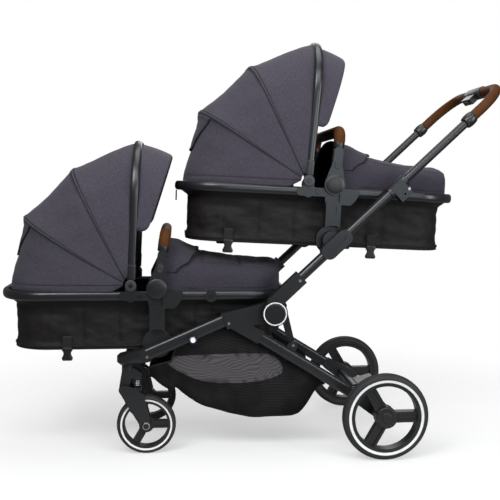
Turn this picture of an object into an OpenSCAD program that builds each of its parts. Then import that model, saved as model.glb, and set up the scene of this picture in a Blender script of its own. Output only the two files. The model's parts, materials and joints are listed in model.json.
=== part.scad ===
// Twin pram: two carrycots, one low at the front and one high at the back, on a folding chassis.
// X runs towards the push handle, Z is up, Y is across. Points in the side view are [x, z] pairs.

/* [Wheels] */
// Distance from the front axles to the rear axle
wheel_base = 657; // [640:1:680]
// Diameter of a rear wheel
rear_wheel_d = 240; // [230:1:250]
// Width of a rear tyre
rear_wheel_w = 42; // [36:1:44]
// Distance between the middles of the rear wheels
rear_track = 548; // [544:1:570]
// Diameter of a front wheel
front_wheel_d = 166; // [156:1:172]
// Width of a front tyre
front_wheel_w = 34; // [28:1:36]
// Distance between the middles of the front wheels
front_track = 316; // [306:1:320]
// How far a front wheel trails behind its swivel axis
caster_trail = 50; // [46:1:56]
// Diameter of the rear axle stubs
rear_axle_d = 12; // [10:0.5:14]
// Diameter of the front axles
front_axle_d = 10; // [8:0.5:11]

/* [Base of the chassis] */
// Height of the fold hub above the floor
hub_z = 404; // [396:1:412]
// Distance of the fold hub behind the front axles
hub_x = 355; // [348:1:362]
// Radius of the fold hub
hub_r = 36; // [33:0.5:38]
// Diameter of the fold pin
fold_pin_d = 16; // [12:0.5:18]
// Depth of the oval front tubes, seen from the side
front_tube_d = 36; // [32:0.5:38]
// Width of the oval front tubes
front_tube_w = 22; // [20:0.5:22]
// Distance from the middle plane to the front tubes and rear legs
base_tube_y = 194; // [192:0.5:196]
// Depth of the oval rear legs, seen from the side
rear_leg_d = 32; // [28:0.5:34]
// Width of the oval rear legs
rear_leg_w = 20; // [18:0.5:21]
// Diameter of the cross tubes
cross_tube_d = 22; // [18:0.5:24]

/* [Upper half of the chassis] */
// Slope of the upper tubes
upper_angle = 42.8; // [42:0.2:44.4]
// Distance from the middle plane to the upper tubes
upper_tube_y = 222; // [220:0.5:224]
// Outer diameter of the upper tubes
upper_tube_d = 27; // [25:0.5:28]
// Diameter of the handle tube that slides in the upper tubes
handle_tube_d = 22; // [19:0.5:23]
// Length of an upper tube outside its knuckle
upper_tube_l = 392; // [380:1:400]
// Distance from the end of an upper tube to the middle of a handle collar
handle_reach = 243; // [236:1:256]
// Distance from the handle collars to the middle of the cross grip
grip_reach = 140; // [134:1:150]
// Radius of the corners of the grip
grip_corner_r = 96; // [85:1:105]
// Diameter of the leather grip
grip_d = 28; // [26:0.5:31]

/* [Cots] */
// Length of a cot over its rail
cot_l = 808; // [800:1:816]
// Distance from the side arms to the head end of the rail
cot_head_l = 439; // [434:1:444]
// Distance from the middle plane to the middle of a side rail
rail_y = 185.5; // [184:0.5:186]
// Height of the rail's section
rail_h = 25; // [22:0.5:26]
// Width of the rail's section
rail_w = 15; // [12:0.5:15]
// Radius of the rail's corners at the head end
head_corner_r = 130; // [115:1:145]
// Radius of the rail's corners at the foot end
foot_corner_r = 110; // [100:1:125]
// Depth of the fabric tub below the rail
tub_depth = 152; // [144:1:156]
// Thickness of the tub's padded wall
tub_wall = 6; // [4:0.5:8]
// Thickness of the mattress
mattress_h = 45; // [35:1:55]
// Radius of the hood bow from its pivot to its top
bow_r = 400; // [392:1:408]
// Radius of the hood rib from its pivot to its top
rib_r = 356; // [350:1:360]
// Thickness of the hood fabric
hood_t = 3; // [2.5:0.1:4]
// Thickness of the apron
apron_t = 8; // [6:0.5:10]
// Radius of the bumper bar from its hub to the middle of its grip
bar_r = 149; // [144:1:154]
// Diameter of the bumper bar's leather grip
bar_grip_d = 32; // [29:0.5:34]
// Height of the rail's middle above the adapter's middle
adapter_drop = 132; // [128:1:136]
// Radius of an adapter disc
adapter_r = 41; // [38:0.5:43]
// Place of the lower cot's side arms behind the front axles
lower_cot_x = 34; // [30:1:38]
// Height of the lower cot's rail at its side arms
lower_cot_z = 450; // [447:1:454]
// Slope of the lower cot, foot end down
lower_cot_angle = 0.3; // [0:0.1:1]
// Place of the upper cot's side arms behind the front axles
upper_cot_x = 524; // [520:1:528]
// Height of the upper cot's rail at its side arms
upper_cot_z = 733; // [730:1:737]
// Slope of the upper cot, foot end down
upper_cot_angle = 2.9; // [2.4:0.1:3.2]

/* [Hidden] */
$fn = 48;

// Clearances shared by all pieces
fit = 0.1;       // round a piece that is held in another
run = 0.05;      // radial, round a pin that turns
gap = 0.3;       // between faces that pass each other
cut = 1;         // overrun of a cut

// Colours
tube_black = "#1b1c20";
plastic_grey = "#46494d";
fabric_charcoal = "#4a4552";
fabric_black = "#202024";
leather_brown = "#6e4628";

// Base of the chassis, seen from the side
hub = [hub_x, hub_z];
front_tube_end = [5, 289];
front_tube_top = [235, 387];
front_sleeve_r = 23;
front_sleeve_reach = 20;
knuckle_wall = 2;
inner_wall = 1;
lower_hub_drop = 6.5;
lower_hub_r = hub_r - lower_hub_drop;
strut_shift = [26, 17];
strut_top = hub + strut_shift;
strut_foot = [411, 305];
strut_r = 11;
strut_t = 8.5;
strut_pad_t = 2;
bolt_head_r = 7;
bolt_head_h = 4;
leg_top = [252, 373];
leg_knuckle_r = 20;
leg_knuckle_l = 80;
leg_insert = 50;
rear_axle = [wheel_base, rear_wheel_d/2];
leg_housing_l = 85;
wheel_housing_r = 25;
wheel_gap = 3;
rear_cross_shift = [-30, 18.7];
rear_cross = rear_axle + rear_cross_shift;
pedal_w = 90;
pedal_y = 0;
pedal_ring_t = 5;
pedal_l = 62;
pedal_t = 9;
pedal_rise = 22;
lamp_at = [131, 331];
lamp_r = 12;
lamp_h = 13;
lamp_lens_r = 8.5;
lamp_lens_h = 3;
hub_cap_h = 6;
hub_cap_edge = 1;
hub_cap_r = hub_r - hub_cap_edge;
hub_ring_r = 32;
hub_ring_w = 2.5;
hub_ring_h = 0.8;
pin_root = 10;

// Upper half of the chassis
upper_knuckle_r = 19.5;
upper_knuckle_reach = [75, 99];
upper_insert = 55;
upper_knuckle_l = 105;
handle_insert = 235;
lock_l = 58;
lock_r = 17;
lock_block = [40, 24];
lock_block_drop = 26;
socket_d = 6;
socket_depth = 14;
clamp_l = 100;
clamp_d = 44;
clamp_wall = 3.5;
clamp_slot = [62, 10];
clamp_slot_depth = 2.5;
adapter_neck_r = 27;
adapter_t = 13;
collar_l = 26;
collar_r = 17.5;
button_house = [20, 66, 24];
button_size = [9, 34, 12];
button_travel = 4;
button_proud = 5;

// Casters
stem_d = 14;
stem_root = 24;
housing_r = 30;
housing_edge = 7;
housing_low_z = 256;
housing_high_z = 286;
front_cross_z = (housing_low_z + housing_high_z)/2;
yoke_r = 16;
yoke_t = 30;
yoke_top_z = 238;
yoke_neck_r = 17;
fork_pivot = [-62, 187];
fork_pivot_d = 10;
fork_pivot_r = 13;
fork_hub_r = 14;
blade_t = 6;
fork_bridge = [-28, 181];
fork_bridge_r = 9;
fork_shoulder = [-17, 166];
fork_shoulder_r = 12;
spring_seat = [-25, 226];
spring_seat_r = 12;
spring_r = 8.5;
spring_wire_r = 1.6;
spring_turns = 4;
spring_rings = 8;
spring_sides = 6;

// Wheels: section and spokes as shares of the wheel's radius
rim_share = 0.80;
rim_in_share = 0.73;
hub_share = 0.25;
rim_w_share = 0.78;
spoke_count = 3;
spoke_w_share = 0.25;
spoke_rib_share = 0.06;
spoke_angle = 0;
crown_share = 0.42;

// Layers across a cot, from the middle plane out
rail_out_y = rail_y + rail_w/2;
rail_in_y = rail_y - rail_w/2;
plate_t = 4.2;
eye_t = 5.7;
cap_t = 2.7;
plate_y = rail_out_y + gap;
eye_y = plate_y + plate_t + gap;
cap_y = eye_y + eye_t + gap;
post_out_y = eye_y + eye_t;
post_in_y = base_tube_y - front_tube_w/2 - gap - adapter_t;

// Cot details in the cot's own frame: x from the side arms, z from the rail's middle
bar_hub = [0, 23];
bar_hub_r = 29;
bar_pin_d = 16;
lower_bar_angle = 81;
upper_bar_angle = 86;
bar_arm_w = 26;
bar_arm_d = 24;
bar_rod_d = 14;
bar_corner_r = 30;
bar_collar_l = 12;
bar_collar_r = 14.5;
bar_lap = 2;
bar_button_at = 56;
bar_button = [13, 22];
bar_button_h = 7;
bar_button_proud = 2.6;
bar_button_travel = 2.5;
post_w = 42;
dimple_r = 9;
dimple_l = 12;
dimple_depth = 2;
dimple_drop = 46;
sleeve_x = [-105, -25];
sleeve_h = 23;
stud_x = 148;
stud_r = 16;
stud_h = 8;
block_x = [16, 70];
block_low = -33;
block_high = 12;
hood_pivot = [-72, 30];
hood_pivot_d = 10;
hood_hub_r = 15.5;
hood_hub_h = 6.5;
hood_eye_r = 12;
bow_w = 22;
bow_t = 7;
rib_w = 12;
rib_t = 6;
bow_angle = 87.3;
rib_angle = 118;
back_rib_angle = 150;
hood_back_angle = 182;
bow_corner_r = 150;
rib_corner_r = 170;
rib_inset = 4;
bow_y = rail_out_y - bow_t/2;
rib_y = bow_y - bow_t/2 - rib_inset - rib_t/2;

// The cots' places: point of the side arms, slope, angle of the bar. A longer head end moves the upper cot
// up along the tubes, so that its nose stays clear of the lower bar
nose_clear = 10;
bar_back_x = lower_cot_x + bar_r*cos(lower_bar_angle) + bar_grip_d/2;
upper_push = max(0, bar_back_x + nose_clear + cot_head_l - upper_cot_x);
lower_cot = [[lower_cot_x, lower_cot_z], lower_cot_angle, lower_bar_angle];
upper_shift = upper_push*[1, tan(upper_angle)];
upper_cot = [[upper_cot_x, upper_cot_z] + upper_shift, upper_cot_angle, upper_bar_angle];

// Small helpers in the side view
function dir(a) = [cos(a), sin(a)];
function along(p, a, l) = p + l*dir(a);
function heading(p, q) = atan2(q[1] - p[1], q[0] - p[0]);
function cot_point(cot, p) = let (c = cos(cot[1]), s = sin(cot[1]))
    cot[0] + [p[0]*c + p[1]*s, p[1]*c - p[0]*s];
function mix(a, b, f) = a + (b - a)*f;

leg_angle = heading(leg_top, rear_axle);
leg_l = norm(rear_axle - leg_top);
upper_start = hub + upper_knuckle_reach;
upper_end = along(upper_start, upper_angle, upper_tube_l);
collar_at = along(upper_end, upper_angle, handle_reach);
grip_at = along(collar_at, upper_angle, grip_reach);
lower_adapter_at = cot_point(lower_cot, [0, -adapter_drop]);
upper_adapter_at = cot_point(upper_cot, [0, -adapter_drop]);
hub_in_y = base_tube_y - front_tube_w/2 - inner_wall;
hub_mid_y = base_tube_y + front_tube_w/2 + knuckle_wall;
hub_up_y = hub_mid_y + gap;
hub_out_y = 2*upper_tube_y - hub_up_y;
caster_y = front_track/2;
swivel_x = -caster_trail;

// The origin lies on the floor under the middle of the whole pram
nose_x = cot_point(lower_cot, [-cot_head_l, 0])[0];
origin_x = (nose_x + grip_at[0] + grip_d/2)/2;

module place() { translate([-origin_x, 0, 0]) children(); }
module both() {
    children();
    mirror([0, 1, 0]) children();
}
module far() { mirror([0, 1, 0]) children(); }

// A side-view outline, made solid between two distances from the middle plane
module slab(y0, y1) { translate([0, -y0, 0]) rotate([90, 0, 0]) linear_extrude(y1 - y0) children(); }
module spot(p) { translate([p[0], p[1]]) children(); }
module rod(p, r, y0, y1) { slab(y0, y1) spot(p) circle(r); }

// Two circles and their outer tangents
module link(p, rp, q, rq) {
    a = heading(p, q);
    b = acos((rp - rq)/norm(q - p));
    spot(p) circle(rp);
    spot(q) circle(rq);
    polygon([p + rp*dir(a + b), q + rq*dir(a + b), q + rq*dir(a - b), p + rp*dir(a - b)]);
}
// The side of a point that lies on the given heading
module beyond(p, a, r) {
    spot(p) rotate(a) translate([0, -2*r]) square([2*r, 4*r]);
}

// A rounded bar section, w by h
module oval(w, h) {
    r = min(w, h)/2;
    if (w > h) {
        square([w - h, h], center = true);
        for (s = [-1, 1]) translate([s*(w - h)/2, 0]) circle(r);
    } else if (h > w) {
        square([w, h - w], center = true);
        for (s = [-1, 1]) translate([0, s*(h - w)/2]) circle(r);
    } else circle(r);
}

// A straight bar from p along angle a in the side view; its section's x lies in that view
module beam(p, a, l, y) {
    translate([p[0], -y, p[1]]) rotate([0, 90 - a, 0]) linear_extrude(l) children();
}

// An arch of one section: two legs of the given length, two round corners and a top, in the plane x = 0
module arch(half_w, leg_l, corner_r, leg_start = 0) {
    both() {
        translate([0, -half_w, leg_start]) linear_extrude(leg_l - leg_start) children();
        translate([0, -half_w + corner_r, leg_l]) rotate([0, 90, 0]) rotate(180)
            rotate_extrude(angle = 90) translate([corner_r, 0]) rotate(90) children();
    }
    translate([0, half_w - corner_r, leg_l + corner_r]) rotate([90, 0, 0])
        linear_extrude(2*(half_w - corner_r)) children();
}

// A closed solid between rings of equal counts, closed at both ends round a middle point
function ring_mid(r) = [for (k = [0:2]) (max([for (p = r) p[k]]) + min([for (p = r) p[k]]))/2];
module loft(rings) {
    n = len(rings[0]);
    m = len(rings);
    points = concat([for (r = rings) each r], [ring_mid(rings[0]), ring_mid(rings[m - 1])]);
    polyhedron(points, concat(
        [for (i = [0:m - 2], j = [0:n - 1]) [i*n + (j + 1)%n, i*n + j, (i + 1)*n + (j + 1)%n]],
        [for (i = [0:m - 2], j = [0:n - 1]) [(i + 1)*n + (j + 1)%n, i*n + j, (i + 1)*n + j]],
        [for (j = [0:n - 1]) [j, (j + 1)%n, m*n]],
        [for (j = [0:n - 1]) [(m - 1)*n + (j + 1)%n, (m - 1)*n + j, m*n + 1]]));
}

// A closed sheet between two grids of equal counts; rows run away from the eye when the first grid faces it
module sheet(a, b) {
    m = len(a);
    n = len(a[0]);
    o = m*n;
    rim = concat([for (j = [0:n - 2]) j], [for (i = [0:m - 2]) i*n + n - 1],
        [for (j = [n - 1:-1:1]) (m - 1)*n + j], [for (i = [m - 1:-1:1]) i*n]);
    c = len(rim);
    polyhedron([each [for (r = a) each r], each [for (r = b) each r]], concat(
        [for (i = [0:m - 2], j = [0:n - 2]) [i*n + j, i*n + j + 1, (i + 1)*n + j + 1]],
        [for (i = [0:m - 2], j = [0:n - 2]) [i*n + j, (i + 1)*n + j + 1, (i + 1)*n + j]],
        [for (i = [0:m - 2], j = [0:n - 2]) [o + i*n + j + 1, o + i*n + j, o + (i + 1)*n + j + 1]],
        [for (i = [0:m - 2], j = [0:n - 2]) [o + (i + 1)*n + j + 1, o + i*n + j, o + (i + 1)*n + j]],
        [for (k = [0:c - 1]) [rim[(k + 1)%c], rim[k], o + rim[k]]],
        [for (k = [0:c - 1]) [rim[(k + 1)%c], o + rim[k], o + rim[(k + 1)%c]]]));
}

// Front tubes and what they carry
module front_tube(grow = 0) {
    a = heading(front_tube_end, front_tube_top);
    beam(front_tube_end, a, norm(front_tube_top - front_tube_end), base_tube_y)
        oval(front_tube_d + 2*grow, front_tube_w + 2*grow);
}
module front_tubes() { color(tube_black) place() both() front_tube(); }

module caster_housings() {
    color(plastic_grey) place() both() difference() {
        hull() {
            translate([swivel_x, -caster_y, housing_low_z])
                cylinder(h = housing_high_z - housing_low_z, r = housing_r - housing_edge, $fn = 32);
            translate([swivel_x, -caster_y, housing_low_z + housing_edge])
                cylinder(h = housing_high_z - housing_low_z - 2*housing_edge, r = housing_r, $fn = 32);
            rod(front_tube_end, front_tube_d/2 + knuckle_wall, hub_in_y, hub_mid_y, $fn = 32);
        }
        slab(hub_in_y - cut, hub_mid_y + cut)
            beyond(front_tube_end, heading(front_tube_end, front_tube_top), front_tube_d);
        front_tube(fit);
        rod(lower_adapter_at, adapter_r + gap, post_in_y - gap, base_tube_y);
        translate([swivel_x, -caster_y, housing_low_z - cut])
            cylinder(h = stem_root + cut + gap, r = stem_d/2 + run);
        rod([swivel_x, front_cross_z], cross_tube_d/2 + fit, 0, caster_y - stem_d);
    }
}

module cross_tubes() {
    color(tube_black) place() {
        translate([swivel_x, caster_y - stem_d, front_cross_z]) rotate([90, 0, 0])
            cylinder(h = 2*(caster_y - stem_d), d = cross_tube_d);
        translate([rear_cross[0], hub_in_y, rear_cross[1]]) rotate([90, 0, 0])
            cylinder(h = 2*hub_in_y, d = cross_tube_d);
    }
}

module lower_knuckles() {
    a = heading(front_tube_end, front_tube_top);
    mouth = along(front_tube_top, a, -front_sleeve_reach);
    color(plastic_grey) place() both() difference() {
        slab(hub_in_y, hub_mid_y) {
            difference() {
                link(mouth, front_sleeve_r, hub, lower_hub_r);
                beyond(mouth, a + 180, front_sleeve_r);
            }
            link(hub, lower_hub_r, strut_top, strut_r);
        }
        front_tube(fit);
        rod(hub, fold_pin_d/2 + fit, hub_mid_y - pin_root, hub_mid_y + cut);
    }
}

module hub_caps() {
    color(plastic_grey) place() both() {
        rod(hub, fold_pin_d/2, hub_mid_y - pin_root, hub_out_y + gap + hub_cap_h);
        rod(hub, hub_cap_r, hub_out_y + gap, hub_out_y + gap + hub_cap_h);
        slab(hub_out_y + gap + hub_cap_h, hub_out_y + gap + hub_cap_h + hub_ring_h) spot(hub) difference() {
            circle(hub_ring_r);
            circle(hub_ring_r - hub_ring_w);
        }
    }
}

module lower_adapters() {
    color(plastic_grey) place() both() difference() {
        rod(lower_adapter_at, adapter_r, post_in_y, base_tube_y - front_tube_w/2);
        front_tube(fit);
    }
}

lamp_face_y = base_tube_y + front_tube_w/2 + lamp_h;
module lamps() {
    color(plastic_grey) place() both() difference() {
        rod(lamp_at, lamp_r, base_tube_y, base_tube_y + front_tube_w/2 + lamp_h);
        front_tube(fit);
        rod(lamp_at, lamp_lens_r + fit, lamp_face_y - lamp_lens_h, lamp_face_y + cut);
    }
}
module lamp_lenses() {
    color("white") place() both()
        rod(lamp_at, lamp_lens_r, lamp_face_y - lamp_lens_h, lamp_face_y);
}

// Basket: a sagging trough that hangs between the front tubes and the rear legs
basket_stations = 17;
basket_turns = 16;
basket_t = 4;
basket_y = hub_in_y - gap;
basket_low_share = 0.90;
basket_power_share = 0.12;
basket_hem = 8;
basket_sag_shares = [[0, 0.1], [0.06, 0.36], [0.123, 0.48], [0.2, 0.68], [0.296, 0.84], [0.45, 0.95], [0.6, 1],
    [0.84, 0.95], [0.89, 0.84], [0.948, 0.4], [1, 0.05]];
basket_edge_points = [[8, 250], [72, 266], [84, 312], [216, 366], [250, 362], [300, 336], [480, 224],
    [505, 206]];
basket_low_z = 68;
function basket_x(f) = mix(basket_edge_points[0][0], basket_edge_points[len(basket_edge_points) - 1][0], f);
function basket_edge(f) = lookup(basket_x(f), basket_edge_points);
function basket_floor(f) = mix(basket_edge(f) - basket_hem, basket_low_z, lookup(f, basket_sag_shares));
function basket_u(t) = [-cos(180*t), pow(max(sin(180*t), 0), basket_power_share)];
function basket_point(f, t, in) = let (u = basket_u(t), top = basket_edge(f), low = basket_floor(f) + in)
    [basket_x(f), u[0]*(basket_y - in)*mix(1, basket_low_share, u[1]), mix(top, low, u[1])];
module basket() {
    steps = [for (i = [0:basket_stations - 1]) i/(basket_stations - 1)];
    turns = [for (j = [0:basket_turns]) j/basket_turns];
    color(fabric_black) place() sheet(
        [for (f = steps) [for (t = turns) basket_point(f, t, basket_t)]],
        [for (f = steps) [for (t = turns) basket_point(f, t, 0)]]);
}

// Rear legs, struts and axle
module rear_leg(grow = 0) {
    leg_start = along(leg_top, leg_angle, leg_insert);
    beam(leg_start, leg_angle, leg_l - leg_insert - leg_housing_l/2, base_tube_y)
        oval(rear_leg_d + 2*grow, rear_leg_w + 2*grow);
}
module rear_legs() { color(tube_black) place() both() rear_leg(); }

module leg_fittings() {
    foot_l = norm(strut_foot - leg_top)*cos(heading(leg_top, strut_foot) - leg_angle);
    foot = along(leg_top, leg_angle, foot_l);
    knuckle_end = along(leg_top, leg_angle, leg_knuckle_l);
    mouth = along(front_tube_top, heading(front_tube_end, front_tube_top), -front_sleeve_reach);
    color(plastic_grey) place() both() {
        difference() {
            slab(hub_in_y, hub_mid_y) difference() {
                link(leg_top, leg_knuckle_r, knuckle_end, leg_knuckle_r - knuckle_wall);
                beyond(knuckle_end, leg_angle, leg_knuckle_r);
                link(mouth, front_sleeve_r + gap, hub, lower_hub_r + gap);
            }
            front_tube(fit);
            rear_leg(fit);
        }
        difference() {
            slab(base_tube_y - rear_leg_w/2 - strut_pad_t, base_tube_y)
                link(foot, rear_leg_d/2 + knuckle_wall, strut_foot, strut_r + knuckle_wall);
            rear_leg(fit);
        }
    }
}

module struts() {
    y1 = base_tube_y - rear_leg_w/2 - strut_pad_t - knuckle_wall;
    color(tube_black) place() both() {
        slab(y1 - strut_t, y1) link(strut_top, strut_r, strut_foot, strut_r - knuckle_wall);
        rod(strut_top, bolt_head_r, y1 - strut_t - bolt_head_h, hub_in_y);
        rod(strut_foot, bolt_head_r, y1 - strut_t - bolt_head_h, base_tube_y - rear_leg_w/2 - strut_pad_t);
    }
}

module wheel_housings() {
    inner = along(rear_axle, leg_angle, -leg_housing_l);
    face = rear_track/2 - rear_wheel_w/2*rim_w_share - wheel_gap;
    color(plastic_grey) place() both() {
        difference() {
            union() {
                slab(hub_in_y, hub_mid_y)
                    link(inner, rear_leg_d/2 + knuckle_wall, rear_axle, wheel_housing_r);
                rod(rear_axle, wheel_housing_r - knuckle_wall, hub_mid_y, face);
            }
            rear_leg(fit);
            rod(rear_cross, cross_tube_d/2 + fit, hub_in_y - cut, hub_in_y + cut);
        }
        rod(rear_axle, rear_axle_d/2, face, rear_track/2 + rear_wheel_w/2*rim_w_share);
    }
}

module brake_pedal() {
    r = cross_tube_d/2 + run;
    tip = rear_cross + [pedal_l, pedal_rise];
    color(plastic_grey) place() translate([0, pedal_y + pedal_w/2, 0]) difference() {
        slab(0, pedal_w) {
            spot(rear_cross) circle(r + pedal_ring_t);
            link(rear_cross, r, tip, pedal_t/2);
        }
        rod(rear_cross, r, -cut, pedal_w + cut);
    }
}

// Wheels, drawn about their axle on the near side
module tyre(d, w) {
    r = d/2;
    translate([0, 0, 0]) rotate([90, 0, 0]) rotate_extrude($fn = 96) difference() {
        union() {
            translate([r*rim_share, -w/2*rim_w_share])
                square([r*(1 - rim_share) - w*crown_share, w*rim_w_share]);
            intersection() {
                translate([r - w*crown_share, 0]) circle(w/2);
                translate([r*rim_share, -w/2]) square([r*(1 - rim_share), w]);
            }
        }
        translate([r, -w]) square([w, 2*w]);
    }
}
module rim(d, w, bore_d) {
    r = d/2;
    t = w*rim_w_share;
    rotate([90, 0, 0]) difference() {
        union() {
            translate([0, 0, -t/2]) linear_extrude(t) difference() {
                circle(r*rim_share - fit);
                circle(r*rim_in_share);
            }
            translate([0, 0, -t/2]) cylinder(h = t, r = r*hub_share);
            for (k = [0:spoke_count - 1]) rotate(spoke_angle + k*360/spoke_count) {
                translate([0, -r*spoke_w_share/2, -t/4])
                    cube([r*(rim_share + rim_in_share)/2, r*spoke_w_share, t/2]);
                for (s = [-1, 1])
                    translate([0, r*(s*(spoke_w_share - spoke_rib_share) - spoke_rib_share)/2, -t*3/8])
                    cube([r*(rim_share + rim_in_share)/2, r*spoke_rib_share, t*3/4]);
            }
        }
        translate([0, 0, -t]) cylinder(h = 2*t, d = bore_d + 2*run);
    }
}
module rear_at() { place() translate([rear_axle[0], -rear_track/2, rear_axle[1]]) children(); }
module front_at() { place() translate([0, -caster_y, front_wheel_d/2]) children(); }
module rear_tyre_near() { color(tube_black) rear_at() tyre(rear_wheel_d, rear_wheel_w); }
module rear_tyre_far() { far() rear_tyre_near(); }
module rear_rim_near() { color(plastic_grey) rear_at() rim(rear_wheel_d, rear_wheel_w, rear_axle_d); }
module rear_rim_far() { far() rear_rim_near(); }
module front_tyre_near() { color(tube_black) front_at() tyre(front_wheel_d, front_wheel_w); }
module front_tyre_far() { far() front_tyre_near(); }
module front_rim_near() { color(plastic_grey) front_at() rim(front_wheel_d, front_wheel_w, front_axle_d); }
module front_rim_far() { far() front_rim_near(); }

// Casters
module caster_stem_near() {
    top = [swivel_x, yoke_top_z];
    color(plastic_grey) place() difference() {
        union() {
            translate([swivel_x, -caster_y, yoke_top_z]) {
                cylinder(h = housing_low_z - gap - yoke_top_z, r = yoke_neck_r);
                cylinder(h = housing_low_z + stem_root - yoke_top_z, d = stem_d);
            }
            slab(caster_y - yoke_t/2, caster_y + yoke_t/2) {
                link(top, yoke_r, fork_pivot, fork_pivot_r);
                link(top, yoke_r, spring_seat, spring_seat_r);
                spot(spring_seat - [spring_seat_r, spring_seat_r]) square([2*spring_seat_r, spring_seat_r]);
            }
        }
        rod(fork_pivot, fork_pivot_d/2 + run, caster_y - yoke_t, caster_y + yoke_t);
    }
}
module caster_stem_far() { far() caster_stem_near(); }

module caster_fork_near() {
    axle = [0, front_wheel_d/2];
    in = max(yoke_t, front_wheel_w + 2*wheel_gap)/2 + gap;
    color(plastic_grey) place() {
        for (y = [caster_y - in - blade_t, caster_y + in]) slab(y, y + blade_t) {
            link(fork_pivot, fork_pivot_r, axle, fork_hub_r);
            link(fork_pivot, fork_pivot_r, fork_bridge, fork_bridge_r);
            link(fork_pivot, fork_pivot_r, fork_shoulder, fork_shoulder_r);
            link(fork_shoulder, fork_shoulder_r, axle, fork_hub_r);
        }
        rod(fork_pivot, fork_pivot_d/2, caster_y - in - blade_t, caster_y + in + blade_t);
        rod(fork_bridge, fork_bridge_r, caster_y - in - blade_t, caster_y + in + blade_t);
        slab(caster_y - in, caster_y + in) spot([spring_seat[0] - spring_seat_r, fork_bridge[1]])
            square([2*spring_seat_r, fork_bridge_r]);
        rod(axle, front_axle_d/2, caster_y - in - blade_t, caster_y + in + blade_t);
    }
}
module caster_fork_far() { far() caster_fork_near(); }

// A coil that stands between the fork's bridge and the yoke
spring_low = fork_bridge[1] + fork_bridge_r + spring_wire_r + gap;
spring_high = spring_seat[1] - spring_seat_r - spring_wire_r - gap;
function coil_point(f) = let (a = 360*spring_turns*f)
    [spring_seat[0] + spring_r*cos(a), -caster_y + spring_r*sin(a),
    mix(spring_low, spring_high, f)];
coil_rise = atan2(spring_high - spring_low, 2*PI*spring_r*spring_turns);
function coil_ring(f) = let (a = 360*spring_turns*f, rise = coil_rise)
    [for (k = [0:spring_sides - 1])
        let (b = -360*k/spring_sides, out = spring_wire_r*cos(b), up = spring_wire_r*sin(b))
        coil_point(f) + [out*cos(a) + up*sin(rise)*sin(a), out*sin(a) - up*sin(rise)*cos(a), up*cos(rise)]];
coil_room = (spring_high - spring_low)/spring_turns - 2*spring_wire_r;
echo(str("least gap between the spring's turns: ", coil_room));
module caster_spring_near() {
    steps = spring_turns*spring_rings;
    color("silver") place() loft([for (i = [0:steps]) coil_ring(i/steps)]);
}
module caster_spring_far() { far() caster_spring_near(); }

// Upper half of the chassis
module upper_tube(r, l0, l1) {
    beam(along(upper_start, upper_angle, l0), upper_angle, l1 - l0, upper_tube_y) circle(r);
}

module upper_knuckles() {
    color(plastic_grey) place() both() difference() {
        slab(hub_up_y, hub_out_y) {
            spot(hub) circle(hub_r);
            difference() {
                link(along(upper_start, upper_angle, -upper_knuckle_l), upper_knuckle_r,
                    upper_start, upper_knuckle_r);
                beyond(upper_start, upper_angle, upper_knuckle_r);
            }
        }
        upper_tube(upper_tube_d/2 + fit, -upper_insert - fit, upper_knuckle_r + cut);
        rod(hub, fold_pin_d/2 + run, hub_up_y - cut, hub_out_y + cut);
    }
}

module upper_tubes() {
    color(tube_black) place() both() difference() {
        upper_tube(upper_tube_d/2, -upper_insert, upper_tube_l);
        upper_tube(handle_tube_d/2 + fit, -upper_insert - cut, upper_tube_l + cut);
    }
}

module upper_adapters() {
    mid = norm(upper_adapter_at - upper_start)*cos(heading(upper_start, upper_adapter_at) - upper_angle);
    centre = along(upper_start, upper_angle, mid);
    color(plastic_grey) place() both() difference() {
        union() {
            slab(post_out_y + 2*gap, upper_tube_y + upper_tube_d/2 + clamp_wall)
                spot(centre) rotate(upper_angle) oval(clamp_l, clamp_d);
            rod(upper_adapter_at, adapter_neck_r, post_in_y, post_out_y + adapter_t);
            rod(upper_adapter_at, adapter_r, post_in_y, base_tube_y - front_tube_w/2);
        }
        upper_tube(upper_tube_d/2 + fit, mid - clamp_l, mid + clamp_l);
        slab(upper_tube_y + upper_tube_d/2 + clamp_wall - clamp_slot_depth, upper_tube_y + upper_tube_d)
            spot(centre) rotate(upper_angle) oval(clamp_slot[0], clamp_slot[1]);
    }
}

module tube_locks() {
    block_at = along(along(upper_end, upper_angle, -lock_l/2), upper_angle - 90, lock_block_drop/2);
    socket_at = along(along(upper_end, upper_angle, -lock_l/2), upper_angle - 90, lock_block_drop);
    face = upper_tube_y + lock_r;
    color(plastic_grey) place() both() difference() {
        union() {
            upper_tube(lock_r, upper_tube_l - lock_l, upper_tube_l);
            slab(2*upper_tube_y - face, face) spot(block_at) rotate(upper_angle)
                square([lock_block[0], lock_block_drop + lock_block[1]], center = true);
        }
        upper_tube(upper_tube_d/2 + fit, upper_tube_l - lock_l - cut, upper_tube_l + cut);
        rod(socket_at, socket_d/2, face - socket_depth, face + cut);
    }
}

// The handle's own frame: x across the tube plane, z along the tubes, from the collars
module handle_at() {
    place() translate([collar_at[0], 0, collar_at[1]]) rotate([0, 90 - upper_angle, 0]) children();
}
grip_leg_l = grip_reach - grip_corner_r;

module handle_tube() {
    color(tube_black) handle_at() {
        arch(upper_tube_y, grip_leg_l, grip_corner_r) circle(d = handle_tube_d);
        both() translate([0, -upper_tube_y, -handle_reach - handle_insert])
            cylinder(h = handle_reach + handle_insert, d = handle_tube_d);
    }
}

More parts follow.
